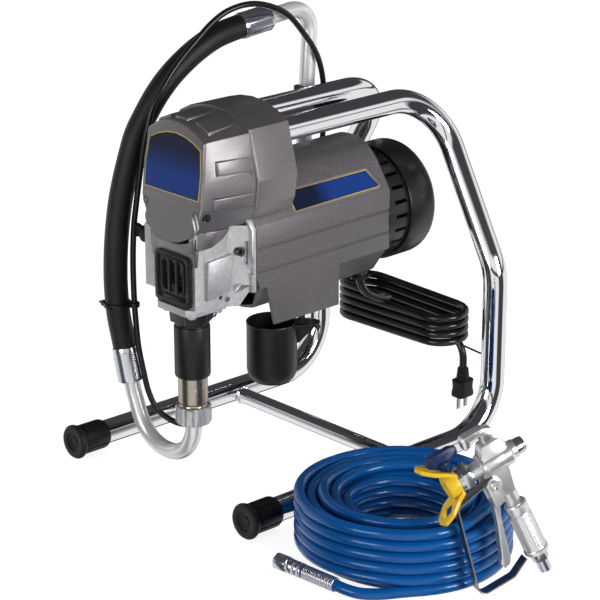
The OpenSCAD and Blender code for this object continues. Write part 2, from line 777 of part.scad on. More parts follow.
module rail_bracket() {
    color("dimgray") set() difference() {
        slab(146, 151) polygon([for (p = REAR_ARCH) [p.x * 0.93, 372 + (p.y - 372) * 0.93]]);
        slab(140, 160) mirrored_polygon([for (p = SHELL_HALF) [p.x * 1.012, 281 + (p.y - 281) * 1.012]]);
        both_sides() along([rail_x, 120, rail_z + 1.7], [0, 1, 0]) cylinder(h = 60, d = tube_d + 0.6);
    }
}

module case_screw(p, dir, r) {
    along(p, dir) difference() {
        cylinder(h = 2.5, r = r);
        translate([0, 0, 1.2]) hexagon(r, 3);
    }
}

module case_screws() {
    color("black") set() {
        case_screw([46, 84, 293], [1, 0, 0], 3);
        both_sides() case_screw([53, 40, 334], [1, 0, 0], 3);
        for (a = [25, 155, 270])
            translate([0, 0, motor_z]) rotate([0, -a, 0]) case_screw([shroud_r, 357, 0], [1, 0, 0], 3);
    }
}

drain_end = DRAIN_HOSE[len(DRAIN_HOSE) - 1];
clip_dir = unit([drain_end.x + 77, drain_end.y - 301, 0]);

module ties_and_clips() {
    color("black") set() {
        // Clip that holds the suction tube to the left rail
        difference() {
            box([-84, 300, 404], [-54, 308, 418]);
            along(SUCTION_TUBE[2] + tube_rise * 200, tube_rise) cylinder(h = 40, d = suction_d + 0.8);
            along([-rail_x, 280, rail_z + 0.8], [0, 1, 0]) cylinder(h = 50, d = tube_d + 0.8);
        }
        // Clip that joins the drain hose's end to the strainer's neck
        on_strainer() translate([0, 0, strainer_drop]) ring(14.4, 12.05, 6);
        translate([drain_end.x, drain_end.y, 196]) ring(6.2, drain_d / 2 + 0.05, 6);
        along([-77, 301, 199] + clip_dir * 13, clip_dir) cylinder(h = 8, r = 2.5);
        // Bands that tie the drain hose to the suction hose
        translate([-121.5, 50, 190]) ring(16.5, 14.6, 5);
        translate([-104.9, 62.4, 190]) ring(6.2, drain_d / 2 + 0.6, 5);
        // Wire ties that carry the mains cord's hank
        translate([-32, 366, 161]) cylinder(h = 50, d = 2.4);
        along([92, 400, 112], unit([50, 0, -4])) cylinder(h = 46, d = 2.4);
    }
}

module drip_cup() {
    color("dimgray") set() difference() {
        union() {
            translate([0, 184, 94]) rotate_extrude() polygon([
                [0, 0], [18, 0], [26, 6], [30, 16], [30, 75], [28, 75], [28, 17], [24.5, 8], [17.5, 2.5], [0, 2.5]]);
            // Lug and post under the shell
            difference() {
                translate([0, 0, 165]) linear_extrude(4) polygon([[10, 212], [30, 190], [46, 214], [38, 226], [26, 224]]);
                translate([0, 184, 150]) cylinder(h = 40, r = 29);
                translate([36, 215, 150]) cylinder(h = 40, r = 4);
            }
            translate([26, 208, 169]) cylinder(h = 38, r = 4);
        }
    }
}

// ---------- controls ----------
module control_box() {
    color("dimgray") set() {
        difference() {
            translate([0, 242, 272]) side_slab(-82, -shell_x - 0.3) rounded_rect(96, 42, 6);
            translate([0, 242, 272]) side_slab(-79.5, -shell_x + 1) rounded_rect(90, 36, 4);
            translate([-90, 222, 272]) rotate([0, 90, 0]) cylinder(h = 12, r = 4.05);
            box([-90, 254.2, 264], [-75, 277.8, 280]);
        }
        // Control board inside
        box([-71, 200, 256], [-69, 284, 288]);
    }
}

module pressure_knob() {
    color("black") set() translate([0, 222, 272]) {
        along([-82.4, 0, 0], [-1, 0, 0]) difference() {
            cylinder(h = 14, r = 15);
            for (k = [0:11])
                rotate([0, 0, k * 30]) translate([16.4, 0, 3]) cylinder(h = 20, r = 2.6, $fn = 24);
        }
        along([-83, 0, 0], [1, 0, 0]) cylinder(h = 10, r = 4);
    }
}

module power_switch() {
    color("red") set() translate([-79, 266, 272]) {
        rotate([0, 0, -8]) translate([-5, -10.5, -7]) cube([8, 21, 14]);
        translate([0, 0, -7.6]) cylinder(h = 15.2, r = 1.5);
    }
}

module cord_gland() {
    color("black") set() translate([30, 300, 0]) difference() {
        union() {
            translate([0, 0, 203]) cylinder(h = 14, r = 8.8);
            translate([0, 0, 203]) cylinder(h = 4, r = 12);
        }
        translate([0, 0, 203]) cylinder(h = 9, d = cord_d);
    }
}

// ---------- mains cord ----------
module mains_lead() {
    color("black") set() swept(CORD_LEAD, cord_d, 10, [0.2, -0.6, 1]);
}

// Middle line of the hank: oval loops that step down one diameter a turn
function hank_point(t) =
    let(
        turn = floor(t),
        s = t - turn,
        straight = hank_x[1] - hank_x[0],
        arc = PI * hank_turn_r,
        total = 2 * (straight + arc),
        w = s * total,
        z = hank_top_z - hank_pitch * t)
        w < arc ?
            let(a = 180 * w / arc) [hank_x[0] - hank_turn_r * sin(a), hank_y - hank_turn_r * cos(a), z] :
        w < arc + straight ?
            [hank_x[0] + (w - arc), hank_y + hank_turn_r, z] :
        w < 2 * arc + straight ?
            let(a = 180 * (w - arc - straight) / arc)
                [hank_x[1] + hank_turn_r * sin(a), hank_y + hank_turn_r * cos(a), z] :
            [hank_x[1] - (w - 2 * arc - straight), hank_y - hank_turn_r, z];
tail_bend = 30;
tail_start = hank_point(hank_loops + 11 / 24);
HANK = concat(
    [[hank_x[0] + 12, hank_y - hank_turn_r, hank_top_z]],
    [for (i = [0:24 * hank_loops + 11]) hank_point(i / 24)],
    // The tail bends down off the last loop, and the plug hangs from it
    [for (a = [18:18:90]) tail_start + [tail_bend * sin(a), 0, tail_bend * (cos(a) - 1)]],
    [tail_start + [tail_bend, 0, -tail_bend - cord_d]]);
hank_end = HANK[len(HANK) - 1];

module mains_hank() {
    color("black") set() swept(HANK, cord_d, 6, [0, 0.6, 1]);
}

module mains_plug() {
    color("black") set() translate(hank_end) rotate([0, 180, 0]) {
        translate([0, 0, 0.1]) cylinder(h = 16, r1 = 6, r2 = 8);
        translate([0, 0, 16]) linear_extrude(22) rounded_rect(20, 26, 5);
        for (s = [-1, 1])
            translate([-1, s * 6.3 - 3.2, 38]) cube([1.5, 6.4, 16]);
        translate([-6, 0, 38]) cylinder(h = 18, r = 2.4);
    }
}

// ---------- spray hose ----------
// Outer turns of the coil, one above the other, then a spiral in across the top
function coil_point(t) =
    let(
        up = min(t, coil_layers - 1),
        past = max(t - (coil_layers - 1), 0),
        part = past - floor(past),
        r = coil_r - loop_step * (floor(past) + sqrt(2 * part - part * part)),
        a = coil_start + 360 * t)
        [coil_centre.x + r * cos(a), coil_centre.y + r * sin(a), hose_d / 2 + loop_step * up];
COIL = [for (i = [0:24 * (coil_layers - 1 + coil_spiral_turns)]) coil_point(i / 24)];
echo(coil_gap = self_gap(COIL, 18) - hose_d, hank_gap = self_gap(HANK, 18) - cord_d);

module spray_hose_coil() {
    color("royalblue") set() {
        swept(COIL, hose_d, 6, [0, 0, 1]);
        // Plain core that the outer turns lie round
        translate([coil_centre.x, coil_centre.y, 0])
            ring(coil_r - 8, coil_r - coil_spiral_turns * loop_step - 6, (coil_layers - 1) * loop_step - 1);
    }
}

module spray_hose_end() {
    color("royalblue") set() swept(HOSE_END, hose_d, 8, [0, 0, 1]);
}

hose_tip = HOSE_END[len(HOSE_END) - 1];
hose_out = unit(hose_tip - HOSE_END[len(HOSE_END) - 2]);

module hose_fitting(p, dir) {
    along(p, dir) {
        difference() {
            union() {
                cylinder(h = 22, r = 8.2);
                translate([0, 0, 22]) hexagon(17, 16);
            }
            translate([0, 0, -1]) cylinder(h = 11, r = hose_d / 2);
            translate([0, 0, 5]) cylinder(h = 20, r = 3);
            translate([0, 0, 24]) cylinder(h = 20, r = 6.6);
        }
    }
}

module hose_fittings() {
    color("lightsteelblue") set() {
        hose_fitting(hose_tip - hose_out * 9, hose_out);
        // Spring guard over the hose behind the fitting
        for (k = [0:13])
            along(hose_tip - hose_out * (12 + k * 2.9), hose_out) ring(7.9, hose_d / 2 + 0.1, 1.9);
    }
}

// ---------- gun ----------
// The gun is drawn in its own plane: X back from the muzzle, Z up, origin at the trigger pivot
gun_nose_down = 24;
gun_lean = 6;
gun_yaw = 63.3;
gun_foot = [-64, 0, -106.5];
gun_stand = [420.9, 85.5, 2];
barrel_z = 20;
tip_x = -38;

module gun() {
    set() translate(gun_stand) rotate([0, 0, gun_yaw]) rotate([-gun_lean, 0, 0])
        rotate([0, -gun_nose_down, 0]) translate(-gun_foot) children();
}

module gun_body() {
    color("silver") gun() difference() {
        union() {
            // Barrel and valve head
            along([-16, 0, barrel_z], [1, 0, 0]) cylinder(h = 20, r = 9);
            along([-4, 0, barrel_z], [1, 0, 0]) cylinder(h = 30, r = 13);
            along([26, 0, barrel_z], [1, 0, 0]) cylinder(h = 12, r = 10);
            // Web between the head and the handle, with the hook on top
            slab(-7, 7) polygon([
                [-4, 12], [24, 12], [30, 32], [22, 56], [14, 60], [-8, 60], [-9, 48], [-5, 48],
                [-4, 54], [9, 54], [8, 34], [-4, 30]]);
            slab(-9, 9) polygon([[0, 22], [24, 22], [18, -18], [4, -18]]);
            // Neck that takes the grip
            along([12, 0, -34], [0, 0, 1]) cylinder(h = 26, r = 8.5);
        }
        along([-20, 0, barrel_z], [1, 0, 0]) cylinder(h = 60, r = 4.05);
        along([12, 0, -36], [0, 0, 1]) cylinder(h = 50, r = 3);
        // Slot for the trigger's yoke
        both_sides_y() box([-14, 9.2, -36], [26, 20, 6]);
    }
}

module gun_grip() {
    color("silver") gun() along([13, 0, -96], [0, 0, 1]) difference() {
        union() {
            cylinder(h = 61.8, r = 12.5);
            cylinder(h = 5, r = 13.5);
        }
        translate([0, 0, 3]) cylinder(h = 70, r = 6);
        translate([0, 0, -1]) cylinder(h = 70, r = 5.05);
        for (k = [0:17])
            rotate([0, 0, k * 20]) translate([13.4, 0, 8]) cylinder(h = 46, r = 1.5, $fn = 16);
    }
}

STRAP = [[1, 3], [-45, -5], [-64, -106], [-22, -106], [-2, -95]];

module gun_strap() {
    color("gray") gun() union() {
        for (i = [0:3]) {
            a = unit(STRAP[i + 1] - STRAP[i]);
            side = [-a.y, a.x] * 0.8;
            slab(-6, 6) polygon([STRAP[i] - side - a * 0.6, STRAP[i + 1] - side + a * 0.6,
                STRAP[i + 1] + side + a * 0.6, STRAP[i] + side - a * 0.6]);
        }
    }
}

module gun_trigger() {
    color("gainsboro") gun() {
        difference() {
            union() {
                both_sides_y() box([-9, 9.6, -16], [4, 12.2, 4]);
                both_sides_y() along([0, 9.6, 0], [0, 1, 0]) cylinder(h = 2.6, r = 8);
                slab(-12.2, 12.2) polygon([[-9, -24], [-1, -23], [-1, -20.5], [-9, -20.5]]);
                both_sides_y() box([-9, 9.6, -22], [3, 12.2, -15]);
                slab(-6, 6) polygon([
                    [-9, -21], [-1, -21], [-8, -40], [-16.5, -trigger_len + 6], [-20, -trigger_len],
                    [-27, -trigger_len - 2], [-29, -trigger_len + 5], [-25, -trigger_len + 11], [-14, -44]]);
            }
            along([0, -20, 0], [0, 1, 0]) cylinder(h = 40, r = 3.05);
        }
    }
}

module gun_needle() {
    color("lightsteelblue") gun() {
        along([-15, 0, barrel_z], [1, 0, 0]) cylinder(h = 50, r = 4);
        along([40.5, 0, barrel_z], [1, 0, 0]) cylinder(h = 8, r = 8);
        along([34, 0, barrel_z], [1, 0, 0]) cylinder(h = 8, r = 4);
    }
}

module gun_swivel() {
    color("lightsteelblue") gun() along([13, 0, -96.4], [0, 0, -1]) difference() {
        union() {
            hexagon(16, 10);
            translate([0, 0, 9]) cylinder(h = 15, r = 6.6);
            translate([0, 0, -8]) cylinder(h = 9, r = 5);
        }
        translate([0, 0, -10]) cylinder(h = 40, r = 2.4);
    }
}

module tip_nut() {
    color("gainsboro") gun() along([-16.2, 0, barrel_z], [-1, 0, 0]) difference() {
        union() {
            cylinder(h = 15, r = 13.5);
            translate([0, 0, 2]) hexagon(27.6, 9);
        }
        translate([0, 0, -1]) cylinder(h = 30, r = 7);
    }
}

module tip_guard() {
    color("gold") gun() difference() {
        union() {
            along([-31.4, 0, barrel_z], [-1, 0, 0]) cylinder(h = 15, r = 14);
            for (s = [-1, 1])
                translate([-36, 0, barrel_z]) rotate([0, s * wing_angle, 0]) translate([0, 0, -s * 1.5])
                    slab(-14, 14) polygon([[-42, s * 16 - 2], [0, s * 12 - 2], [0, s * 12 + 2], [-42, s * 16 + 2]]);
        }
        along([-20, 0, barrel_z], [-1, 0, 0]) cylinder(h = 60, r = 5);
        along([tip_x, 0, -10], [0, 0, 1]) cylinder(h = 60, r = 6.05);
        box([-31.4, -20, -10], [0, 20, 50]);
        for (s = [-1, 1])
            translate([-36, 0, barrel_z]) rotate([0, s * wing_angle, 0])
                along([-27, 0, s * 16 - 8], [0, 0, 1]) cylinder(h = 16, r = 7, $fn = 4);
    }
}

module tip_handle() {
    color("midnightblue") gun() translate([tip_x, 0, 0]) difference() {
        union() {
            along([0, 0, 8], [0, 0, 1]) cylinder(h = 40, r = 6);
            along([0, 0, 43.4], [0, 0, 1]) cylinder(h = 4, r = 8);
            slab(-4, 4) polygon([
                [-16.5, 49.6], [-8, 43.4], [8, 43.4], [19, 51.2], [19.5, 56], [12, 59], [-10, 59], [-16.5, 55]]);
        }
        along([-20, 0, barrel_z], [1, 0, 0]) cylinder(h = 50, r = 1.2);
    }
}

frame_left();
frame_right();
crossbar();
foot_caps();
rail_bracket();
gear_housing();
front_cover();
case_screws();
badge_plates();
rod_guard();
motor_shell();
motor_can();
motor_bells();
bearings();
vent_ring();
fan_shroud();
armature();
cooling_fan();
idler_gear();
crank_gear();
connecting_rod();
pump_rod();
outlet_ball();
intake_ball();
pump_flange();
pump_cylinder();
pump_sleeve();
pump_packings();
jam_nut();
intake_valve();
suction_elbow();
hose_ferrules();
suction_hose();
suction_tube();
strainer();
fluid_manifold();
outlet_fittings();
prime_lever();
drain_hose();
ties_and_clips();
drip_cup();
control_box();
pressure_knob();
power_switch();
cord_gland();
mains_lead();
mains_hank();
mains_plug();
spray_hose_coil();
spray_hose_end();
hose_fittings();
gun_body();
gun_grip();
gun_strap();
gun_trigger();
gun_needle();
gun_swivel();
tip_nut();
tip_guard();
tip_handle();
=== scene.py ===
"""Airless paint sprayer on a tubular stand, with its coiled spray hose and its gun.

Each class models one sub-assembly with Blender's own tools, in millimetres of the
stand's drawing (X across, Y front to back, Z up), and sets its pieces in the frame
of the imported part.
"""
import logging
import random
from dataclasses import dataclass
from enum import Enum
from math import acos, cos, degrees, floor, pi, radians, sin, sqrt, tan
from typing import Callable, Iterable, Sequence

import bpy
from mathutils import Matrix, Vector


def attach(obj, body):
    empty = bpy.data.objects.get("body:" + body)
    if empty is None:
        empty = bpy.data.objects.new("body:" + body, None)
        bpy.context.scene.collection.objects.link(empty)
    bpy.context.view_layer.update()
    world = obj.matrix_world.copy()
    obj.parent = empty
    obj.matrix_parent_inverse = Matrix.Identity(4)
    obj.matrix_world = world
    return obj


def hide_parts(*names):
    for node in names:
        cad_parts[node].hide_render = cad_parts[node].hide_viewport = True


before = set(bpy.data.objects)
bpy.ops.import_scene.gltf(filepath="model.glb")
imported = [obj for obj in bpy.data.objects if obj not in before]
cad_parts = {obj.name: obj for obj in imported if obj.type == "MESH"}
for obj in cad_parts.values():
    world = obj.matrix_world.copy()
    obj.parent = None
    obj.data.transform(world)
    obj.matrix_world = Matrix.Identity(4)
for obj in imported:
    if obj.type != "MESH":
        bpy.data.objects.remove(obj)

LOG = logging.getLogger("sprayer")
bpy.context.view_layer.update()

Colour = tuple[float, float, float]
Flat = Sequence[tuple[float, float]]
Outline = list[tuple[float, float]]
Corners = tuple[tuple[float, float], ...]
Route = tuple[tuple[float, float, float], ...]
Piece = bpy.types.Object
Socket = bpy.types.NodeSocket
Node = bpy.types.Node
NodeTree = bpy.types.NodeTree
Point = Sequence[float]
Test = Callable[[Vector, Vector], bool]
STAND = Matrix.Scale(0.001, 4) @ Matrix.Translation((-147, -212, 0))
GUN = (
    STAND
    @ Matrix.Translation((420.9, 85.5, 2))
    @ Matrix.Rotation(radians(63.3), 4, "Z")
    @ Matrix.Rotation(radians(-6), 4, "X")
    @ Matrix.Rotation(radians(-24), 4, "Y")
    @ Matrix.Translation((64, 0, 106.5))
)
MIRROR = Matrix.Scale(-1, 4, (1, 0, 0))
# Millimetres within which two vertices are one, and degrees within which two faces are
MERGE = 0.004
FLAT = 1.5


class Plane(Enum):
    """Plane that a drawing lies in."""

    XZ = "across"
    YZ = "along"
    XY = "level"

    def lift(self, a: float, b: float, c: float) -> Vector:
        """Turns drawing coordinates into a point; c runs square to the plane.

        Args:
            a: first coordinate of the drawing.
            b: second coordinate.
            c: distance square to the plane.

        Returns:
            The point.
        """
        if self is Plane.XZ:
            return Vector((a, c, b))
        return Vector((c, a, b)) if self is Plane.YZ else Vector((a, b, c))


def turned_frame(base: Point, direction: Point) -> Matrix:
    """Frame at a base point whose +Z runs in a direction."""
    return Matrix.Translation(Vector(base)) @ Vector(direction).to_track_quat("Z", "Y").to_matrix().to_4x4()


def flowing(points: Sequence[Point], legs: int = 6) -> list[Vector]:
    """Smooth curve through route points.

    Args:
        points: route points in millimetres.
        legs: steps between two neighbouring points.

    Returns:
        Points of a centripetal spline, ends included.
    """
    route = [Vector(p) for p in points]
    route = [2 * route[0] - route[1], *route, 2 * route[-1] - route[-2]]
    curve: list[Vector] = []
    for i in range(1, len(route) - 2):
        p0, p1, p2, p3 = route[i - 1:i + 3]
        t1 = sqrt((p1 - p0).length)
        t2 = t1 + sqrt((p2 - p1).length)
        t3 = t2 + sqrt((p3 - p2).length)
        for k in range(legs):
            t = t1 + (t2 - t1) * k / legs
            a1 = p0.lerp(p1, t / t1)
            a2 = p1.lerp(p2, (t - t1) / (t2 - t1))
            a3 = p2.lerp(p3, (t - t2) / (t3 - t2))
            b1 = a1.lerp(a2, t / t2)
            b2 = a2.lerp(a3, (t - t1) / (t3 - t1))
            curve.append(b1.lerp(b2, (t - t1) / (t2 - t1)))
    return [*curve, route[-2]]


def bent(corners: Sequence[Point], radii: Sequence[float], step: float = 7.5) -> list[Vector]:
    """Middle line of a bent tube.

    Args:
        corners: corners where the straight runs would meet.
        radii: bend radius at each inner corner.
        step: degrees of bend between two points.

    Returns:
        Points of the straight runs and the round bends.
    """
    path = [Vector(c) for c in corners]
    line = [path[0]]
    for i, radius in enumerate(radii):
        here = path[i + 1]
        a = (here - path[i]).normalized()
        b = (path[i + 2] - here).normalized()
        angle = a.angle(b)
        cut = radius * tan(angle / 2)
        centre = here + (b - a).normalized() * radius / cos(angle / 2)
        start = here - a * cut
        axis = a.cross(b).normalized()
        steps = max(3, round(degrees(angle) / step))
        line += [centre + Matrix.Rotation(angle * k / steps, 3, axis) @ (start - centre) for k in range(steps + 1)]
    return [*line, path[-1]]


def rounded(width: float, height: float, radius: float, centre: tuple[float, float] = (0, 0),
        steps: int = 5) -> Outline:
    """Outline of a rectangle with round corners, counter-clockwise.

    Args:
        width: of the rectangle.
        height: of the rectangle.
        radius: of its corners.
        centre: its middle.
        steps: steps in each corner.

    Returns:
        The outline's points.
    """
    outline = []
    for quarter, (sx, sy) in enumerate(((1, 1), (-1, 1), (-1, -1), (1, -1))):
        for k in range(steps + 1):
            a = radians(90 * quarter + 90 * k / steps)
            outline.append((
                centre[0] + sx * (width / 2 - radius) + radius * cos(a),
                centre[1] + sy * (height / 2 - radius) + radius * sin(a)))
    return outline


def mirrored(points: Flat) -> Outline:
    """Outline from its half on the +X side, drawn from one end of the middle line to the other."""
    return [*points, *[(-a, b) for a, b in reversed(points) if abs(a) > 1e-6]]


def hexagon(radius: float, turn: float = 0, centre: tuple[float, float] = (0, 0)) -> Outline:
    """Outline of a hexagon.

    Args:
        radius: of its corners.
        turn: angle of its first corner in degrees.
        centre: its middle.

    Returns:
        The six corners, counter-clockwise.
    """
    corners = [radians(60 * k + turn) for k in range(6)]
    return [(centre[0] + radius * cos(a), centre[1] + radius * sin(a)) for a in corners]


class Bench:
    """Blender's modelling tools, used in millimetres."""

    @staticmethod
    def pick(*objects: Piece) -> None:
        """Selects only these objects and makes the first one active.

        Args:
            objects: what to select; none clears the selection.
        """
        if bpy.context.object and bpy.context.object.mode != "OBJECT":
            bpy.ops.object.mode_set(mode="OBJECT")
        bpy.ops.object.select_all(action="DESELECT")
        for obj in objects:
            obj.select_set(True)
        bpy.context.view_layer.objects.active = objects[0] if objects else None

    @staticmethod
    def hang(name: str, data: bpy.types.ID) -> Piece:
        """Adds an object to the scene.

        Args:
            name: the object's name.
            data: its mesh, curve, camera or lamp.

        Returns:
            The object.
        """
        obj = bpy.data.objects.new(name, data)
        bpy.context.scene.collection.objects.link(obj)
        return obj

    @staticmethod
    def edit(obj: Piece, kind: str = "FACE", whole: bool = True) -> None:
        """Opens an object in edit mode, with all or the chosen elements selected.

        Args:
            obj: the object.
            kind: VERT, EDGE or FACE.
            whole: whether all of it is selected.
        """
        Bench.pick(obj)
        bpy.ops.object.mode_set(mode="EDIT")
        bpy.ops.mesh.select_mode(type=kind)
        if whole:
            bpy.ops.mesh.select_all(action="SELECT")

    @staticmethod
    def done() -> None:
        """Goes back to object mode."""
        bpy.ops.object.mode_set(mode="OBJECT")

    @staticmethod
    def choose(obj: Piece, test: Test) -> int:
        """Selects the faces whose centre and normal pass a test.

        Args:
            obj: the piece, which is left in edit mode.
            test: takes a face's centre and normal.

        Returns:
            The number of faces chosen.
        """
        Bench.edit(obj)
        bpy.ops.mesh.select_all(action="DESELECT")
        Bench.done()
        chosen = 0
        for face in obj.data.polygons:
            face.select = test(face.center, face.normal)
            chosen += face.select
        Bench.edit(obj, whole=False)
        return chosen

    @staticmethod
    def outline(points: Sequence[Point], filled: bool = True) -> Piece:
        """A face, or an open ring, through points: a circle primitive pulled to shape.

        Args:
            points: corners in order.
            filled: whether the ring gets a face.

        Returns:
            The flat object.
        """
        Bench.pick()
        bpy.ops.mesh.primitive_circle_add(vertices=len(points), fill_type="NGON" if filled else "NOTHING")
        obj = bpy.context.object
        for vertex, point in zip(obj.data.vertices, points):
            vertex.co = point
        return obj

    @staticmethod
    def slab(points: Flat, low: float, high: float, plane: Plane = Plane.XZ, bevel: float = 0.0) -> Piece:
        """A drawing made thick from low to high, square to its plane.

        Args:
            points: outline of the drawing.
            low: where it starts.
            high: where it ends.
            plane: plane of the drawing.
            bevel: rounding of the edges.

        Returns:
            The solid.
        """
        obj = Bench.outline([plane.lift(a, b, low) for a, b in points])
        Bench.edit(obj)
        bpy.ops.mesh.extrude_region_move(TRANSFORM_OT_translate={"value": plane.lift(0, 0, high - low)})
        Bench.outwards(obj)
        return Bench.bevel(obj, bevel) if bevel else obj

    @staticmethod
    def outwards(obj: Piece, merge: float = 0.0) -> None:
        """Merges doubles if asked, and points every face outwards.

        Args:
            obj: the piece.
            merge: distance under which vertices are merged.
        """
        Bench.edit(obj, "VERT")
        if merge:
            bpy.ops.mesh.remove_doubles(threshold=merge)
            bpy.ops.mesh.dissolve_degenerate(threshold=merge)
            bpy.ops.mesh.delete_loose(use_verts=True, use_edges=True, use_faces=False)
            bpy.ops.mesh.select_all(action="SELECT")
        bpy.ops.mesh.normals_make_consistent(inside=False)
        Bench.done()

    @staticmethod
    def turned(section: Flat, base: Point = (0, 0, 0), direction: Point = (0, 0, 1),
            steps: int = 48) -> Piece:
        """A turned piece.

        Args:
            section: closed half section of (radius, height) points.
            base: where height 0 lies.
            direction: way the heights run.
            steps: facets round the piece.

        Returns:
            The spun solid.
        """
        obj = Bench.outline([Vector((r, 0, h)) for r, h in section], filled=False)
        Bench.edit(obj, "VERT")
        bpy.ops.mesh.spin(steps=steps, angle=2 * pi, center=(0, 0, 0), axis=(0, 0, 1), use_auto_merge=True)
        Bench.outwards(obj, MERGE)
        obj.data.transform(turned_frame(base, direction))
        return obj

    @staticmethod
    def rod(radius: float, low: float, high: float, base: Point = (0, 0, 0),
            direction: Point = (0, 0, 1), steps: int = 48) -> Piece:
        """A plain cylinder, to be joined to a piece or cut out of it.

        Args:
            radius: of the cylinder.
            low: where it starts along its direction.
            high: where it ends.
            base: where height 0 lies.
            direction: way the heights run.
            steps: facets round it.

        Returns:
            The cylinder.
        """
        return Bench.turned([(0, low), (radius, low), (radius, high), (0, high)], base, direction, steps)

    @staticmethod
    def block(low: Point, high: Point, bevel: float = 0.0) -> Piece:
        """A box between two corners, with its edges rounded off.

        Args:
            low: lowest corner.
            high: highest corner.
            bevel: rounding of the edges.

        Returns:
            The box.
        """
        outline = [(low[0], low[1]), (high[0], low[1]), (high[0], high[1]), (low[0], high[1])]
        return Bench.slab(outline, low[2], high[2], Plane.XY, bevel)

    @staticmethod
    def apply(obj: Piece, kind: str, **settings: object) -> Piece:
        """Adds a modifier with settings and applies it.

        Args:
            obj: the piece.
            kind: type of modifier.
            settings: its properties.

        Returns:
            The piece.
        """
        modifier = obj.modifiers.new(kind.lower(), kind)
        for key, value in settings.items():
            setattr(modifier, key, value)
        Bench.pick(obj)
        bpy.ops.object.modifier_apply(modifier=modifier.name)
        return obj

    @staticmethod
    def bevel(obj: Piece, width: float, segments: int = 2, angle: float = 35) -> Piece:
        """Rounds the edges that are sharper than an angle in degrees."""
        return Bench.apply(obj, "BEVEL", width=width, segments=segments, limit_method="ANGLE",
            angle_limit=radians(angle), use_clamp_overlap=True, harden_normals=False)

    @staticmethod
    def cut(obj: Piece, *tools: Piece) -> Piece:
        """Takes the tools' solids out of a piece and removes them."""
        return Bench.combine(obj, "DIFFERENCE", tools)

    @staticmethod
    def fuse(obj: Piece, *others: Piece) -> Piece:
        """Makes one solid of a piece and others."""
        return Bench.combine(obj, "UNION", others)

    @staticmethod
    def combine(obj: Piece, operation: str, others: Iterable[Piece]) -> Piece:
        """Boolean with each of the other solids in turn.

        Args:
            obj: the piece.
            operation: UNION, DIFFERENCE or INTERSECT.
            others: solids that are used up.

        Returns:
            The piece.
        """
        for other in others:
            Bench.apply(obj, "BOOLEAN", operation=operation, solver="EXACT", object=other)
            bpy.data.objects.remove(other)
        return obj

    @staticmethod
    def join(obj: Piece, *others: Piece) -> Piece:
        """Puts loose shells together in one piece.

        Args:
            obj: the piece.
            others: shells that become part of it.

        Returns:
            The piece.
        """
        if others:
            Bench.pick(obj, *others)
            bpy.ops.object.join()
        return obj

    @staticmethod
    def copy(obj: Piece, matrix: Matrix) -> Piece:
        """A copy with its own mesh, moved by a matrix; a mirrored copy is turned right way out.

        Args:
            obj: the piece.
            matrix: where the copy goes.

        Returns:
            The copy.
        """
        twin = Bench.hang(obj.name, obj.data.copy())
        twin.data.transform(matrix)
        if matrix.determinant() < 0:
            twin.data.flip_normals()
        return twin

    @staticmethod
    def mirror(obj: Piece) -> Piece:
        """Joins a piece with its mirror image on the other side of the stand."""
        return Bench.join(obj, Bench.copy(obj, MIRROR))

    @staticmethod
    def round_about(obj: Piece, count: int, centre: Point = (0, 0, 0),
            axis: Point = (0, 0, 1)) -> Piece:
        """Joins a piece with its copies set evenly round an axis.

        Args:
            obj: the first piece.
            count: pieces in the ring.
            centre: a point on the axis.
            axis: direction of the axis.

        Returns:
            All of them as one piece.
        """
        middle = Matrix.Translation(Vector(centre))
        twins = [
            Bench.copy(obj, middle @ Matrix.Rotation(2 * pi * k / count, 4, Vector(axis)) @ middle.inverted())
            for k in range(1, count)]
        return Bench.join(obj, *twins)

    @staticmethod
    def pipe(points: Sequence[Point], radius: float, sides: int = 16,
            swell: Sequence[float] | None = None) -> Piece:
        """A round tube with closed ends along a line.

        Args:
            points: middle line.
            radius: outer radius.
            sides: facets round the tube.
            swell: factor on the radius at each point.

        Returns:
            The tube as a mesh, with a UV map that runs along and round it.
        """
        curve = bpy.data.curves.new("pipe", "CURVE")
        curve.dimensions = "3D"
        spline = curve.splines.new("POLY")
        spline.points.add(len(points) - 1)
        for i, point in enumerate(points):
            spline.points[i].co = (*point, 1)
            spline.points[i].radius = swell[i] if swell else 1
        curve.bevel_depth = radius
        curve.bevel_resolution = max(0, (sides - 4) // 2)
        curve.use_fill_caps = True
        Bench.pick(Bench.hang("pipe", curve))
        bpy.ops.object.convert(target="MESH")
        Bench.outwards(bpy.context.object, 0.001)
        return bpy.context.object

    @staticmethod
    def from_node(*names: str, bevel: float = 0.0, angle: float = 35, segments: int = 2,
            place: Matrix = STAND) -> Piece:
        """A merged copy of CAD nodes in a drawing's millimetres, with softened edges.

        Args:
            names: the CAD nodes.
            bevel: width of the rounding.
            angle: degrees from which an edge is rounded.
            segments: steps of the rounding.
            place: from the drawing to the frame.

        Returns:
            The copy.
        """
        copies = []
        for name in names:
            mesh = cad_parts[name].data.copy()
            mesh.transform(place.inverted())
            mesh.materials.clear()
            copies.append(Bench.hang(name + "_copy", mesh))
        obj = Bench.join(*copies)
        Bench.edit(obj, "VERT")
        bpy.ops.mesh.customdata_custom_splitnormals_clear()
        bpy.ops.mesh.remove_doubles(threshold=MERGE)
        bpy.ops.mesh.dissolve_limited(angle_limit=radians(FLAT))
        bpy.ops.mesh.select_all(action="SELECT")
        bpy.ops.mesh.normals_make_consistent(inside=False)
        Bench.done()
        return Bench.bevel(obj, bevel, segments, angle) if bevel else obj

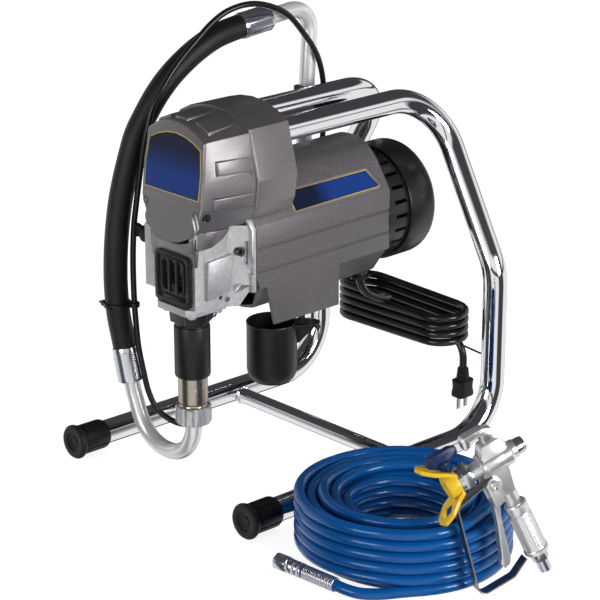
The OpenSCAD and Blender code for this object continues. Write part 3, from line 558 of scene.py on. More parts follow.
    @staticmethod
    def soften(node: str, name: str, finish: "Finish", bevel: float, segments: int = 2, angle: float = 35,
            body: str = "sprayer", place: Matrix = STAND) -> Piece:
        """Dresses a CAD node's own shape, with its edges rounded.

        Args:
            node: the CAD node.
            name: the piece's name.
            finish: its finish.
            bevel: width of the rounding.
            segments: steps of the rounding.
            angle: degrees from which an edge is rounded.
            body: the CAD body it moves with.
            place: from its drawing to the frame.

        Returns:
            The piece, in place.
        """
        copy = Bench.from_node(node, bevel=bevel, angle=angle, segments=segments, place=place)
        return Bench.present(copy, name, finish, node, body=body, place=place)

    @staticmethod
    def paint(obj: Piece, finish: "Finish", test: Test) -> Piece:
        """Gives the faces that pass a test another finish.

        Args:
            obj: the piece.
            finish: the other finish.
            test: takes a face's centre and normal.

        Returns:
            The piece.
        """
        if not obj.data.materials:
            obj.data.materials.append(None)
        obj.data.materials.append(finish.material())
        index = len(obj.data.materials) - 1
        for face in obj.data.polygons:
            if test(face.center, face.normal):
                face.material_index = index
        return obj

    @staticmethod
    def present(obj: Piece, name: str, finish: "Finish", *nodes: str, body: str = "sprayer",
            place: Matrix = STAND, angle: float = 40) -> Piece:
        """Dresses a finished piece and hands it to the frame.

        Args:
            obj: the piece, in millimetres.
            name: its name.
            finish: its main finish.
            nodes: CAD nodes it stands for.
            body: the CAD body it moves with.
            place: from its drawing to the frame.
            angle: degrees from which an edge stays crisp.

        Returns:
            The piece, in place.
        """
        Bench.pick(obj)
        bpy.ops.object.shade_smooth_by_angle(angle=radians(angle))
        obj.data.transform(place)
        obj.name = obj.data.name = name
        if obj.data.materials and obj.data.materials[0] is None:
            obj.data.materials[0] = finish.material()
        elif not obj.data.materials:
            obj.data.materials.append(finish.material())
        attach(obj, body)
        if nodes:
            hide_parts(*nodes)
        LOG.info("%-22s %6d faces on %s", name, len(obj.data.polygons), body)
        return obj


def offset(points: Flat, distance: float) -> Outline:
    """A counter-clockwise outline moved inwards by a distance (outwards if negative).

    Args:
        points: the outline.
        distance: how far it moves.

    Returns:
        The moved outline.
    """
    made = []
    for i, here in enumerate(points):
        before, after = Vector(points[i - 1]), Vector(points[(i + 1) % len(points)])
        a = (Vector(here) - before).normalized()
        b = (after - Vector(here)).normalized()
        bisector = Vector((-a.y - b.y, a.x + b.x))
        scale = distance / max(0.35, bisector.length_squared / 2)
        made.append((here[0] + bisector.x * scale, here[1] + bisector.y * scale))
    return made


def smooth_outline(corners: Flat, radius: float, steps: int = 4) -> Outline:
    """A closed outline with its corners rounded, each by at most the radius.

    Args:
        corners: the outline.
        radius: of the rounding.
        steps: steps in each corner.

    Returns:
        The rounded outline.
    """
    made = []
    for i, here in enumerate(corners):
        p, a, b = Vector(here), Vector(corners[i - 1]), Vector(corners[(i + 1) % len(corners)])
        ua, ub = (a - p).normalized(), (b - p).normalized()
        half = max(0.05, acos(max(-1, min(1, ua.dot(ub)))) / 2)
        cut = min(radius / tan(half), 0.45 * (a - p).length, 0.45 * (b - p).length)
        if cut < 0.05:
            made.append(here)
            continue
        start, end = p + ua * cut, p + ub * cut
        for k in range(steps + 1):
            t = k / steps
            q = start * (1 - t) ** 2 + p * 2 * t * (1 - t) + end * t ** 2
            made.append((q.x, q.y))
    return made


class Form:
    """Shapes that take more than one step at the bench."""

    @staticmethod
    def loft(rings: Sequence[Sequence[Point]]) -> Piece:
        """A closed solid through rings: each is extruded from the last and pulled to shape.

        Args:
            rings: corners of each ring, the same number in all.

        Returns:
            The solid.
        """
        obj = Bench.outline(rings[0])
        for previous, ring in zip(rings, rings[1:]):
            Bench.edit(obj, whole=previous is rings[0])
            bpy.ops.mesh.extrude_region_move()
            Bench.done()
            for vertex in (v for v in obj.data.vertices if v.select):
                nearest = min(range(len(previous)), key=lambda i: (Vector(previous[i]) - vertex.co).length_squared)
                vertex.co = ring[nearest]
        Bench.outwards(obj)
        return obj

    @staticmethod
    def wedge(base: Sequence[Vector], out: Vector, rise: float, tail: float = 0.15, inset: float = 1.6,
            sunk: float = 2.0, bevel: float = 1.1) -> Piece:
        """A raised rib that runs out.

        Args:
            base: corners on the surface, the two at the tall end first.
            out: way it rises.
            rise: height of the tall end.
            tail: height of the low end.
            inset: how far its top draws in.
            sunk: how deep its foot goes into the surface.
            bevel: rounding of its edges.

        Returns:
            The rib.
        """
        foot, top = [], []
        for i, corner in enumerate(Vector(p) for p in base):
            high = rise if i < 2 else tail
            side = (Vector(base[[1, 0, 3, 2][i]]) - corner).normalized()
            along = (Vector(base[[3, 2, 1, 0][i]]) - corner).normalized()
            foot.append(corner - out * sunk)
            top.append(corner + out * high + side * inset + along * (rise * 0.8 if i < 2 else 0))
        rib = Form.loft([foot, top])
        return Bench.bevel(rib, bevel, 3, 30)

    @staticmethod
    def touch(obj: Piece, start: Point, way: Point) -> Vector:
        """Point where a line from a start first meets a piece.

        Args:
            obj: the piece.
            start: where the line starts.
            way: its direction.

        Returns:
            The point, or the start if nothing is met.
        """
        bpy.context.view_layer.update()
        found, place, _, _ = obj.ray_cast(Vector(start), Vector(way))
        return place if found else Vector(start)

    @staticmethod
    def prism(outline: Flat, matrix: Matrix, low: float, high: float) -> Piece:
        """A drawing made thick and set by a matrix.

        Args:
            outline: the drawing.
            matrix: its place.
            low: where it starts.
            high: where it ends.

        Returns:
            The solid.
        """
        obj = Bench.slab(outline, low, high, Plane.XY)
        obj.data.transform(matrix)
        return obj

    @staticmethod
    def screw(base: Point, way: Point, radius: float, high: float) -> Piece:
        """Socket head of a screw that stands on a point: knurled rim, dished top and a six-sided socket.

        Args:
            base: point under the head.
            way: direction in which the head points.
            radius: of the head.
            high: height of the head.

        Returns:
            The head.
        """
        head = Bench.turned([(0, -1), (radius, -1), (radius, high * 0.75), (radius - high * 0.25, high), (0, high)],
            steps=28)
        socket = Bench.slab(hexagon(radius * 0.55), high * 0.35, high + 1, Plane.XY)
        Bench.cut(head, socket)
        head.data.transform(turned_frame(base, way))
        return head


class Graph:
    """Small helper that wires up a node tree."""

    def __init__(self, tree: NodeTree) -> None:
        """Keeps the tree to build in."""
        self.tree = tree

    def add(self, kind: str, **values: object) -> Node:
        """Adds a node; names of sockets set inputs, other names set properties.

        Args:
            kind: node type, without ShaderNode.
            values: its settings.

        Returns:
            The node.
        """
        node = self.tree.nodes.new("ShaderNode" + kind)
        for key, value in values.items():
            if hasattr(node, key):
                setattr(node, key, value)
            else:
                node.inputs[key.replace("_", " ")].default_value = value
        return node

    def find(self, kind: str) -> Node:
        """The first node of a type."""
        return next(node for node in self.tree.nodes if node.type == kind)

    def link(self, source: Socket, target: Socket) -> None:
        """Joins an output to an input."""
        self.tree.links.new(source, target)

    def feed(self, source: Node, target: Node, *names: str) -> None:
        """Joins the outputs of a node to the inputs of the same names."""
        for name in names:
            self.link(source.outputs[name], target.inputs[name])

    def maths(self, operation: str, a: object, b: object = 0.5, clamp: bool = False) -> Socket:
        """Adds a Math node whose inputs are sockets or numbers.

        Args:
            operation: of the node.
            a: first input.
            b: second input.
            clamp: whether the result stays within 0 and 1.

        Returns:
            The result.
        """
        node = self.tree.nodes.new("ShaderNodeMath")
        node.operation = operation
        node.use_clamp = clamp
        for slot, value in zip(node.inputs, (a, b)):
            if isinstance(value, Socket):
                self.link(value, slot)
            else:
                slot.default_value = value
        return node.outputs[0]

    def blend(self, factor: Socket, low: object, high: object) -> Socket:
        """Mixes two colours by a mask.

        Args:
            factor: the mask.
            low: colour where the mask is 0.
            high: colour where it is 1.

        Returns:
            The mixed colour.
        """
        node = self.tree.nodes.new("ShaderNodeMix")
        node.data_type = "RGBA"
        self.link(factor, node.inputs[0])
        for slot, value in zip((node.inputs[6], node.inputs[7]), (low, high)):
            if isinstance(value, Socket):
                self.link(value, slot)
            else:
                slot.default_value = (*value, 1)
        return node.outputs[2]

    def spread(self, value: Socket, low: float, high: float, to_low: float = 0, to_high: float = 1) -> Socket:
        """Maps a value's range onto another, clamped.

        Args:
            value: what is mapped.
            low: start of its range.
            high: end of its range.
            to_low: result at the start.
            to_high: result at the end.

        Returns:
            The mapped value.
        """
        node = self.tree.nodes.new("ShaderNodeMapRange")
        self.link(value, node.inputs[0])
        for slot, number in zip(list(node.inputs)[1:5], (low, high, to_low, to_high)):
            slot.default_value = number
        return node.outputs[0]


def effect(name: str, inputs: dict[str, float],
        outputs: dict[str, str]) -> tuple[NodeTree, "Graph", Node, Node]:
    """Starts a shared shader node group.

    Args:
        name: the group's name.
        inputs: float inputs and values, after the vector.
        outputs: names and socket kinds of the outputs.

    Returns:
        The tree, its helper, its input node and its output node.
    """
    tree = bpy.data.node_groups.new(name, "ShaderNodeTree")
    tree.interface.new_socket("Vector", in_out="INPUT", socket_type="NodeSocketVector")
    for key, value in inputs.items():
        tree.interface.new_socket(key, in_out="INPUT", socket_type="NodeSocketFloat").default_value = value
    for key, kind in outputs.items():
        tree.interface.new_socket(key, in_out="OUTPUT", socket_type="NodeSocket" + kind)
    return tree, Graph(tree), tree.nodes.new("NodeGroupInput"), tree.nodes.new("NodeGroupOutput")


class Effects:
    """Shared node groups: each is built once and placed in every finish that uses it."""

    _built: dict[str, NodeTree] = {}

    @classmethod
    def get(cls, name: str) -> NodeTree:
        """Returns a group by name, building it the first time.

        Args:
            name: of the group.

        Returns:
            The group.
        """
        if name not in cls._built:
            cls._built[name] = getattr(cls, name)()
        return cls._built[name]

    @staticmethod
    def mottle() -> NodeTree:
        """Soft patches of colour over broad and fine scales.

        Returns:
            The group.
        """
        tree, g, inp, out = effect("mottle", {"Scale": 30.0, "Contrast": 1.0}, {"Mask": "Float"})
        broad = g.add("TexNoise", Detail=4.0, Roughness=0.55)
        fine = g.add("TexNoise", Detail=2.0, Roughness=0.5)
        g.feed(inp, broad, "Vector", "Scale")
        g.feed(inp, fine, "Vector")
        g.link(g.maths("MULTIPLY", inp.outputs["Scale"], 6.3), fine.inputs["Scale"])
        both = g.maths("ADD", g.maths("MULTIPLY", broad.outputs[0], 0.7), g.maths("MULTIPLY", fine.outputs[0], 0.3))
        centred = g.maths("MULTIPLY", g.maths("SUBTRACT", both, 0.5), inp.outputs["Contrast"])
        g.link(g.maths("ADD", centred, 0.5, clamp=True), out.inputs["Mask"])
        return tree

    @staticmethod
    def grain() -> NodeTree:
        """Fine pebbled height of a cast, moulded or powder-coated surface, with its light specks.

        Returns:
            The group.
        """
        tree, g, inp, out = effect("grain", {"Scale": 900.0}, {"Height": "Float", "Specks": "Float"})
        cells = g.add("TexVoronoi", feature="SMOOTH_F1")
        noise = g.add("TexNoise", Detail=2.0)
        for node in (cells, noise):
            g.feed(inp, node, "Vector", "Scale")
        g.link(g.maths("ADD", g.maths("MULTIPLY", cells.outputs["Distance"], 0.5), noise.outputs[0]),
            out.inputs["Height"])
        g.link(g.spread(noise.outputs[0], 0.56, 0.72), out.inputs["Specks"])
        return tree

    @staticmethod
    def wear_and_edge_highlight() -> NodeTree:
        """Rubbed spots and thin scratches, and a painted highlight along convex edges.

        Returns:
            The group.
        """
        tree, g, inp, out = effect("wear_and_edge_highlight", {"Scale": 25.0, "Amount": 0.3}, {"Mask": "Float"})
        spots = g.add("TexNoise", Detail=8.0, Roughness=0.7)
        marks = g.add("TexNoise", Detail=3.0)
        stretch = g.add("VectorMath", operation="MULTIPLY")
        stretch.inputs[1].default_value = (1, 9, 2.5)
        g.link(inp.outputs["Vector"], stretch.inputs[0])
        g.link(stretch.outputs[0], marks.inputs["Vector"])
        g.feed(inp, spots, "Vector", "Scale")
        g.link(g.maths("MULTIPLY", inp.outputs["Scale"], 3.0), marks.inputs["Scale"])
        # Painted highlight: convex edges take the scuff colour, which is lighter than the base on most finishes.
        edge = g.spread(g.add("NewGeometry").outputs["Pointiness"], 0.52, 0.62)
        scuffs_and_edge_highlight = g.maths("MULTIPLY", g.maths("ADD", g.spread(spots.outputs[0], 0.55, 0.75), edge),
            g.spread(marks.outputs[0], 0.45, 0.6))
        g.link(g.maths("MULTIPLY", scuffs_and_edge_highlight, inp.outputs["Amount"], clamp=True), out.inputs["Mask"])
        return tree

    @staticmethod
    def brushed() -> NodeTree:
        """Fine lines that run round or along a machined surface.

        Returns:
            The group.
        """
        tree, g, inp, out = effect("brushed", {"Scale": 60.0}, {"Mask": "Float"})
        lines = g.add("TexNoise", Detail=4.0, Roughness=0.6)
        g.feed(inp, lines, "Vector", "Scale")
        g.link(g.spread(lines.outputs[0], 0.3, 0.7), out.inputs["Mask"])
        return tree

    @staticmethod
    def weave() -> NodeTree:
        """Two crossing sets of slanted strands over a UV map in strand widths.

        Returns:
            The group.
        """
        tree, g, inp, out = effect("weave", {"Along": 400.0, "Around": 30.0}, {"Height": "Float"})
        split = g.add("SeparateXYZ")
        g.link(inp.outputs["Vector"], split.inputs[0])
        u = g.maths("MULTIPLY", split.outputs[0], inp.outputs["Along"])
        v = g.maths("MULTIPLY", split.outputs[1], inp.outputs["Around"])
        one = g.maths("SINE", g.maths("MULTIPLY", g.maths("ADD", u, v), 2 * pi))
        two = g.maths("SINE", g.maths("MULTIPLY", g.maths("SUBTRACT", u, v), 2 * pi))
        g.link(g.maths("MULTIPLY", g.maths("ADD", g.maths("MULTIPLY", one, two), 1.0), 0.5), out.inputs["Height"])
        return tree


@dataclass(frozen=True)
class Finish:
    """A solid finish: two tones in soft patches, fine grain, scuffed places, and a painted highlight along convex
    edges.

    Attributes:
        slot: material slot that the finish fills.
        light: main colour, linear.
        dark: second tone of the patches.
        metallic: share of metal.
        gloss: lowest and highest roughness.
        patch: patches per metre.
        contrast: strength of the patches.
        grain: grains per metre.
        depth: height of the grain in metres.
        specks: strength of light specks in the grain.
        worn_and_highlit: colour of scuffed places and of the painted edge highlight.
        wear_and_edge_highlight: how much is scuffed, and how strong the painted edge highlight is.
        coat: clear coat.
        shine: specular level of what isn't metal.
        name: the material's name where it isn't the slot's.
    """

    slot: str
    light: Colour
    dark: Colour
    metallic: float = 0.0
    gloss: tuple[float, float] = (0.4, 0.5)
    patch: float = 30.0
    contrast: float = 1.0
    grain: float = 900.0
    depth: float = 0.0
    specks: float = 0.0
    worn_and_highlit: Colour = (0.5, 0.5, 0.5)
    wear_and_edge_highlight: float = 0.0
    coat: float = 0.0
    shine: float = 0.5
    name: str = ""

    def material(self) -> bpy.types.Material:
        """The finish's material, built once.

        Returns:
            The material.
        """
        name = f"{self.name or self.slot}_finish"
        if name in bpy.data.materials:
            return bpy.data.materials[name]
        material = bpy.data.materials.new(name)
        material.use_nodes = True
        g = Graph(material.node_tree)
        shader = g.find("BSDF_PRINCIPLED")
        shader.inputs["Metallic"].default_value = self.metallic
        shader.inputs["Coat Weight"].default_value = self.coat
        shader.inputs["Specular IOR Level"].default_value = self.shine
        shader.inputs["Coat Roughness"].default_value = 0.06
        self.wire(g, shader)
        return material

    def place(self, g: Graph, group: str, vector: Socket, **values: float) -> Node:
        """Puts a shared effect in this finish.

        Args:
            g: the material's graph.
            group: name of the effect.
            vector: coordinates that it reads.
            values: its inputs.

        Returns:
            The group's node.
        """
        node = g.tree.nodes.new("ShaderNodeGroup")
        node.node_tree = Effects.get(group)
        g.link(vector, node.inputs["Vector"])
        for key, value in values.items():
            node.inputs[key].default_value = value
        return node

    def colour(self, g: Graph, vector: Socket, mask: Socket) -> Socket:
        """Base colour before grain, scuffs and painted edge highlight."""
        return g.blend(mask, self.dark, self.light)

    def wire(self, g: Graph, shader: Node) -> None:
        """Wires patches, grain, scuffs and painted edge highlight into the shader.

        Args:
            g: the material's graph.
            shader: its main shader.
        """
        vector = g.add("TexCoord").outputs["Object"]
        mask = self.place(g, "mottle", vector, Scale=self.patch, Contrast=self.contrast).outputs["Mask"]
        colour = self.colour(g, vector, mask)
        rough = g.spread(mask, 0.2, 0.8, self.gloss[1], self.gloss[0])
        if self.specks or self.depth:
            grain = self.place(g, "grain", vector, Scale=self.grain)
            if self.specks:
                bright = tuple(min(1.0, c * 2.2 + 0.05) for c in self.light)
                colour = g.blend(g.maths("MULTIPLY", grain.outputs["Specks"], self.specks), colour, bright)
            if self.depth:
                bump = g.add("Bump", Strength=1.0, Distance=self.depth)
                g.link(grain.outputs["Height"], bump.inputs["Height"])
                g.link(bump.outputs[0], shader.inputs["Normal"])
        # Scuffed places and a painted highlight along convex edges, in their own colour.
        if self.wear_and_edge_highlight:
            worn_and_highlit = self.place(g, "wear_and_edge_highlight", vector, Amount=self.wear_and_edge_highlight).outputs["Mask"]
            colour = g.blend(worn_and_highlit, colour, self.worn_and_highlit)
        g.link(colour, shader.inputs["Base Color"])
        g.link(rough, shader.inputs["Roughness"])


@dataclass(frozen=True)
class Machined(Finish):
    """Bare metal with fine lines round its axis or along it.

    Attributes:
        lines: stretch; the lines run square to its largest value.
        line_depth: height of the lines in metres.
    """

    lines: tuple[float, float, float] = (1, 1, 30)
    line_depth: float = 0.00003

    def wire(self, g: Graph, shader: Node) -> None:
        """Adds the lines to the plain finish.

        Args:
            g: the material's graph.
            shader: its main shader.
        """
        super().wire(g, shader)
        vector = g.add("TexCoord").outputs["Object"]
        stretch = g.add("Mapping")
        stretch.inputs["Scale"].default_value = self.lines
        g.link(vector, stretch.inputs["Vector"])
        lines = self.place(g, "brushed", stretch.outputs[0], Scale=45.0).outputs["Mask"]
        bump = g.add("Bump", Strength=0.6, Distance=self.line_depth)
        g.link(lines, bump.inputs["Height"])
        g.link(bump.outputs[0], shader.inputs["Normal"])
        g.link(g.spread(lines, 0, 1, self.gloss[0], self.gloss[1]), shader.inputs["Roughness"])


@dataclass(frozen=True)
class Braided(Finish):
    """Hose jacket whose pattern follows the tube's UV map.

    Attributes:
        length: the tube's length in metres.
        strand: width of a strand in metres.
        around: strands round the tube.
        raised: height of the strands in metres.
    """

    length: float = 1.0
    strand: float = 0.003
    around: int = 16
    raised: float = 0.0003

    def wire(self, g: Graph, shader: Node) -> None:
        """Adds the strands to the plain finish, with painted shade in their low parts.

        Args:
            g: the material's graph.
            shader: its main shader.
        """
        super().wire(g, shader)
        vector = g.add("TexCoord").outputs["UV"]
        strands = self.place(g, "weave", vector, Along=self.length / self.strand, Around=self.around)
        bump = g.add("Bump", Strength=0.8, Distance=self.raised)
        g.link(strands.outputs["Height"], bump.inputs["Height"])
        g.link(bump.outputs[0], shader.inputs["Normal"])
        base = shader.inputs["Base Color"].links[0].from_socket
        # Painted shade: the weave's low parts take the dark tone.
        deep = g.spread(strands.outputs["Height"], 0.1, 0.6)
        g.link(g.blend(deep, self.dark, base), shader.inputs["Base Color"])


@dataclass(frozen=True)
class Graded(Finish):
    """Printed plate whose colour runs from dark at the top to light at the bottom.

    Attributes:
        low: place of the light end in metres.
        high: place of the dark end in metres.
        axis: 1 from front to back, 2 upwards.
    """

    low: float = 0.36
    high: float = 0.43
    axis: int = 2

    def colour(self, g: Graph, vector: Socket, mask: Socket) -> Socket:
        """Mixes the two tones along the plate.

        Args:
            g: the material's graph.
            vector: object coordinates.
            mask: patches, not used here.

        Returns:
            The colour.
        """
        split = g.add("SeparateXYZ")
        g.link(vector, split.inputs[0])
        return g.blend(g.spread(split.outputs[self.axis], self.low, self.high), self.light, self.dark)


# The scuff colours are lighter than the base on dark finishes: they also give the painted edge highlight.
CHROME = Finish("chrome_tube", (0.80, 0.80, 0.82), (0.72, 0.72, 0.745), 1.0, (0.04, 0.09), 18, 0.8, wear_and_edge_highlight=0.05,
    worn_and_highlit=(0.55, 0.55, 0.56))
SATIN = Finish("satin_tube", (0.88, 0.88, 0.89), (0.82, 0.82, 0.84), 0.45, (0.24, 0.34), 26, 0.6, grain=900,
    depth=0.00004)
GREY_PAINT = Finish("grey_paint", (0.228, 0.213, 0.222), (0.182, 0.169, 0.177), 0.70, (0.27, 0.38), 22, 0.8,
    grain=1100, depth=0.00016, specks=0.45, wear_and_edge_highlight=0.10, worn_and_highlit=(0.30, 0.29, 0.30))
SHELL_PAINT = Finish("grey_paint", (0.138, 0.127, 0.136), (0.108, 0.099, 0.106), 0.35, (0.36, 0.48), 20, 0.8,
    grain=900, depth=0.00030, specks=0.8, wear_and_edge_highlight=0.08, worn_and_highlit=(0.30, 0.29, 0.30), name="speckled_grey")
CAST = Finish("cast_silver", (0.56, 0.56, 0.57), (0.40, 0.40, 0.42), 0.75, (0.34, 0.52), 34, 1.2, grain=850,
    depth=0.00018, specks=0.15, wear_and_edge_highlight=0.25, worn_and_highlit=(0.85, 0.85, 0.86))
RUBBER = Finish("black_rubber", (0.014, 0.0135, 0.0135), (0.008, 0.008, 0.008), 0.0, (0.42, 0.58), 30, 1.0, shine=0.28,
    grain=1400, depth=0.00006, wear_and_edge_highlight=0.10, worn_and_highlit=(0.10, 0.10, 0.10))
PLASTIC = Finish("black_plastic", (0.011, 0.011, 0.0115), (0.006, 0.006, 0.0065), 0.0, (0.30, 0.44), 26, 1.0,
    shine=0.30, grain=1600, depth=0.00005, wear_and_edge_highlight=0.10, worn_and_highlit=(0.11, 0.11, 0.11))
SHROUD_PAINT = Finish("black_steel", (0.013, 0.012, 0.013), (0.008, 0.008, 0.008), 0.0, (0.24, 0.36), 22, 1.0,
    shine=0.40, grain=1200, depth=0.00007, wear_and_edge_highlight=0.12, worn_and_highlit=(0.12, 0.12, 0.12), name="black_enamel")
BLACK_STEEL = Finish("black_steel", (0.020, 0.019, 0.019), (0.010, 0.010, 0.010), 0.4, (0.28, 0.42), 40, wear_and_edge_highlight=0.4,
    worn_and_highlit=(0.22, 0.22, 0.22))
STEEL = Finish("steel", (0.55, 0.55, 0.56), (0.40, 0.40, 0.42), 1.0, (0.25, 0.40), 60, 1.2)
STAINLESS = Machined("stainless", (0.50, 0.45, 0.385), (0.34, 0.29, 0.23), 0.95, (0.16, 0.30), 70, 1.4,
    lines=(26, 26, 1))
ZINC = Finish("zinc", (0.66, 0.69, 0.74), (0.55, 0.58, 0.63), 0.95, (0.16, 0.26), 40, 0.6)
COPPER = Finish("copper", (0.60, 0.24, 0.11), (0.35, 0.13, 0.06), 1.0, (0.3, 0.45), 90)
PACKING = Finish("packing", (0.62, 0.50, 0.30), (0.40, 0.30, 0.17), 0.0, (0.6, 0.8), 120)
HOSE_BLUE = Finish("blue_hose", (0.001, 0.102, 0.375), (0.001, 0.072, 0.275), 0.0, (0.20, 0.30), 40, 0.8, grain=500,
    depth=0.00005, coat=0.25, shine=0.25)
GUN_METAL = Finish("gun_metal", (0.78, 0.78, 0.785), (0.70, 0.70, 0.71), 0.80, (0.28, 0.36), 30, 0.4, grain=1500,
    depth=0.000012)
STRAP = Machined("strap_steel", (0.36, 0.35, 0.345), (0.22, 0.215, 0.21), 1.0, (0.26, 0.42), 50, 1.2, lines=(3, 3, 22))
YELLOW = Finish("yellow_plastic", (0.88, 0.60, 0.015), (0.74, 0.46, 0.008), 0.0, (0.26, 0.38), 40, 1.0, grain=900,
    depth=0.00005, wear_and_edge_highlight=0.10, worn_and_highlit=(0.95, 0.80, 0.35))
NAVY = Finish("navy_plastic", (0.007, 0.018, 0.095), (0.004, 0.010, 0.060), 0.0, (0.28, 0.40), 40, 1.0, shine=0.3,
    grain=900, depth=0.00005, wear_and_edge_highlight=0.12, worn_and_highlit=(0.10, 0.15, 0.35))
RED = Finish("red_plastic", (0.55, 0.02, 0.015), (0.38, 0.012, 0.01), 0.0, (0.25, 0.38), 60)
BADGE = Graded("badge_blue", (0.010, 0.045, 0.240), (0.006, 0.010, 0.040), 0.0, (0.30, 0.38), 60, low=0.380,
    high=0.409, shine=0.2, name="badge_face")
DECAL = Graded("badge_blue", (0.010, 0.045, 0.240), (0.006, 0.010, 0.040), 0.0, (0.30, 0.38), 60, low=0.014,
    high=-0.012, axis=1, shine=0.2, name="decal_blue")
BORDER = Finish("badge_blue", (0.86, 0.66, 0.04), (0.76, 0.55, 0.03), 0.0, (0.3, 0.4), 60, name="badge_yellow")
RIM = Finish("badge_blue", (0.21, 0.195, 0.175), (0.17, 0.155, 0.14), 0.0, (0.35, 0.45), 60, name="badge_grey")
SUCTION_JACKET = Braided("black_rubber", (0.018, 0.017, 0.016), (0.007, 0.007, 0.007), 0.0, (0.34, 0.50), 30,
    shine=0.3, length=0.51, strand=0.0032, around=26, raised=0.00025, name="woven_hose")
THIN_HOSE = Finish("black_rubber", (0.012, 0.0115, 0.0115), (0.008, 0.008, 0.008), 0.0, (0.20, 0.32), 30, shine=0.35,
    name="thin_hose")
CORD = Finish("black_rubber", (0.011, 0.011, 0.011), (0.007, 0.007, 0.007), 0.0, (0.20, 0.30), 30, 1.0, shine=0.45,
    name="black_cord")


@dataclass
class Studio:
    """Camera, floor and lamps.

    Attributes:
        eye: camera position in metres.
        azimuth: camera heading in degrees, from behind towards the left.
        elevation: downward tilt in degrees.
        lens: focal length on a sensor 36 mm wide.
        shift: frame shift upwards.
        floor_size: side of the floor in metres.
        ambient: strength of the soft light from all round.
        stripes: turn of the dark stripes that only gloss sees, in radians.
        glow: how much the floor lights up for the camera.
        middle: point that the lamps face.
        distance: of the lamps from it.
        lamps: name, azimuth, elevation, side, watts and whether gloss sees it.
    """

    eye: tuple[float, float, float] = (1.65342, -1.70572, 1.09157)
    azimuth: float = 46.24611
    elevation: float = 19.52606
    lens: float = 133.9
    shift: float = -0.032
    floor_size: float = 30.0
    ambient: float = 0.17
    stripes: float = 0.9
    glow: float = 0.86
    middle: tuple[float, float, float] = (0, 0, 0.25)
    distance: float = 3.0
    lamps: tuple[tuple[str, float, float, float, float, bool], ...] = (
        ("key_lamp", 95, 13, 1.2, 66, True), ("front_lamp", 5, 10, 1.2, 30, True),
        ("rear_lamp", 150, 59, 1.4, 12, False), ("left_lamp", -75, 25, 1.4, 14, False))

    def build(self) -> None:
        """Sets up the camera, the world, the lamps and the floor."""
        bpy.context.scene.view_settings.view_transform = "Standard"
        self.camera()
        self.world()
        self.floor()
        for lamp in self.lamps:
            self.lamp(*lamp)

    def camera(self) -> None:
        """Places the camera."""
        data = bpy.data.cameras.new("camera")
        data.lens, data.sensor_width, data.shift_y = self.lens, 36, self.shift
        data.clip_end = 60
        camera = Bench.hang("camera", data)
        a, e = radians(self.azimuth), radians(self.elevation)
        ahead = Vector((-sin(a) * cos(e), cos(a) * cos(e), -sin(e)))
        camera.location = self.eye
        camera.rotation_euler = ahead.to_track_quat("-Z", "Y").to_euler()
        bpy.context.scene.camera = camera

    def lamp(self, name: str, azimuth: float, elevation: float, size: float, power: float, glossy: bool) -> None:
        """Hangs a softbox that faces the middle of the object.

        Args:
            name: the lamp's name.
            azimuth: degrees round from the front (+X is 90).
            elevation: height over the floor in degrees.
            size: side of the softbox in metres.
            power: watts.
            glossy: whether shiny surfaces show it.
        """
        data = bpy.data.lights.new(name, "AREA")
        data.shape, data.size, data.energy = "SQUARE", size, power
        lamp = Bench.hang(name, data)
        a, e = radians(azimuth), radians(elevation)
        out = Vector((sin(a) * cos(e), -cos(a) * cos(e), sin(e)))
        lamp.location = Vector(self.middle) + out * self.distance
        lamp.rotation_euler = (-out).to_track_quat("-Z", "Y").to_euler()
        lamp.visible_glossy = glossy

    def world(self) -> None:
        """White background; soft ambient light; dark bands of a studio that only gloss sees."""
        world = bpy.data.worlds.new("studio")
        bpy.context.scene.world = world
        world.use_nodes = True
        g = Graph(world.node_tree)
        background = g.find("BACKGROUND")
        ray = g.add("LightPath")
        split = g.add("SeparateXYZ")
        g.link(g.add("TexCoord").outputs["Generated"], split.inputs[0])
        x, y, z = split.outputs[:3]
        turn = g.maths("ARCTAN2", y, x)
        wave = g.maths("SINE", g.maths("ADD", g.maths("MULTIPLY", turn, 3.0), self.stripes))
        upright = g.spread(wave, 0.0, 0.45)
        above = g.spread(z, 0.34, 0.46)
        horizon = g.maths("MULTIPLY", g.spread(z, 0.10, 0.06), g.spread(z, -0.03, 0.0))
        dark = g.maths("MAXIMUM", g.maths("MAXIMUM", upright, above), horizon, clamp=True)
        glossy = g.blend(dark, (1, 1, 1), (0.06, 0.06, 0.065))
        seen = g.blend(ray.outputs["Is Glossy Ray"], (1, 1, 1), glossy)
        g.link(seen, background.inputs["Color"])
        clear = g.maths("MAXIMUM", ray.outputs["Is Camera Ray"], g.maths("MAXIMUM", ray.outputs["Is Glossy Ray"],
            ray.outputs["Is Transmission Ray"]))
        g.link(g.spread(clear, 0, 1, self.ambient, 1.0), background.inputs["Strength"])

    def floor(self) -> None:
        """A plain white floor that keeps the shadow."""
        Bench.pick()
        bpy.ops.mesh.primitive_plane_add(size=self.floor_size, location=(0, 0, -0.0002))
        floor = bpy.context.object
        floor.name = "floor"
        material = bpy.data.materials.new("floor")
        material.use_nodes = True
        g = Graph(material.node_tree)
        shader = g.find("BSDF_PRINCIPLED")
        shader.inputs["Base Color"].default_value = (0.52, 0.52, 0.52, 1)
        shader.inputs["Roughness"].default_value = 0.9
        shader.inputs["Specular IOR Level"].default_value = 0.1
        shader.inputs["Emission Color"].default_value = (1, 1, 1, 1)
        ray = g.add("LightPath")
        g.link(g.maths("MULTIPLY", ray.outputs["Is Camera Ray"], self.glow), shader.inputs["Emission Strength"])
        # Gloss looks through the floor at the stripes, as over a studio's long table
        mix = g.add("MixShader")
        g.link(ray.outputs["Is Glossy Ray"], mix.inputs[0])
        g.link(shader.outputs[0], mix.inputs[1])
        g.link(g.add("BsdfTransparent").outputs[0], mix.inputs[2])
        output = g.find("OUTPUT_MATERIAL")
        g.link(mix.outputs[0], output.inputs["Surface"])
        floor.data.materials.append(material)


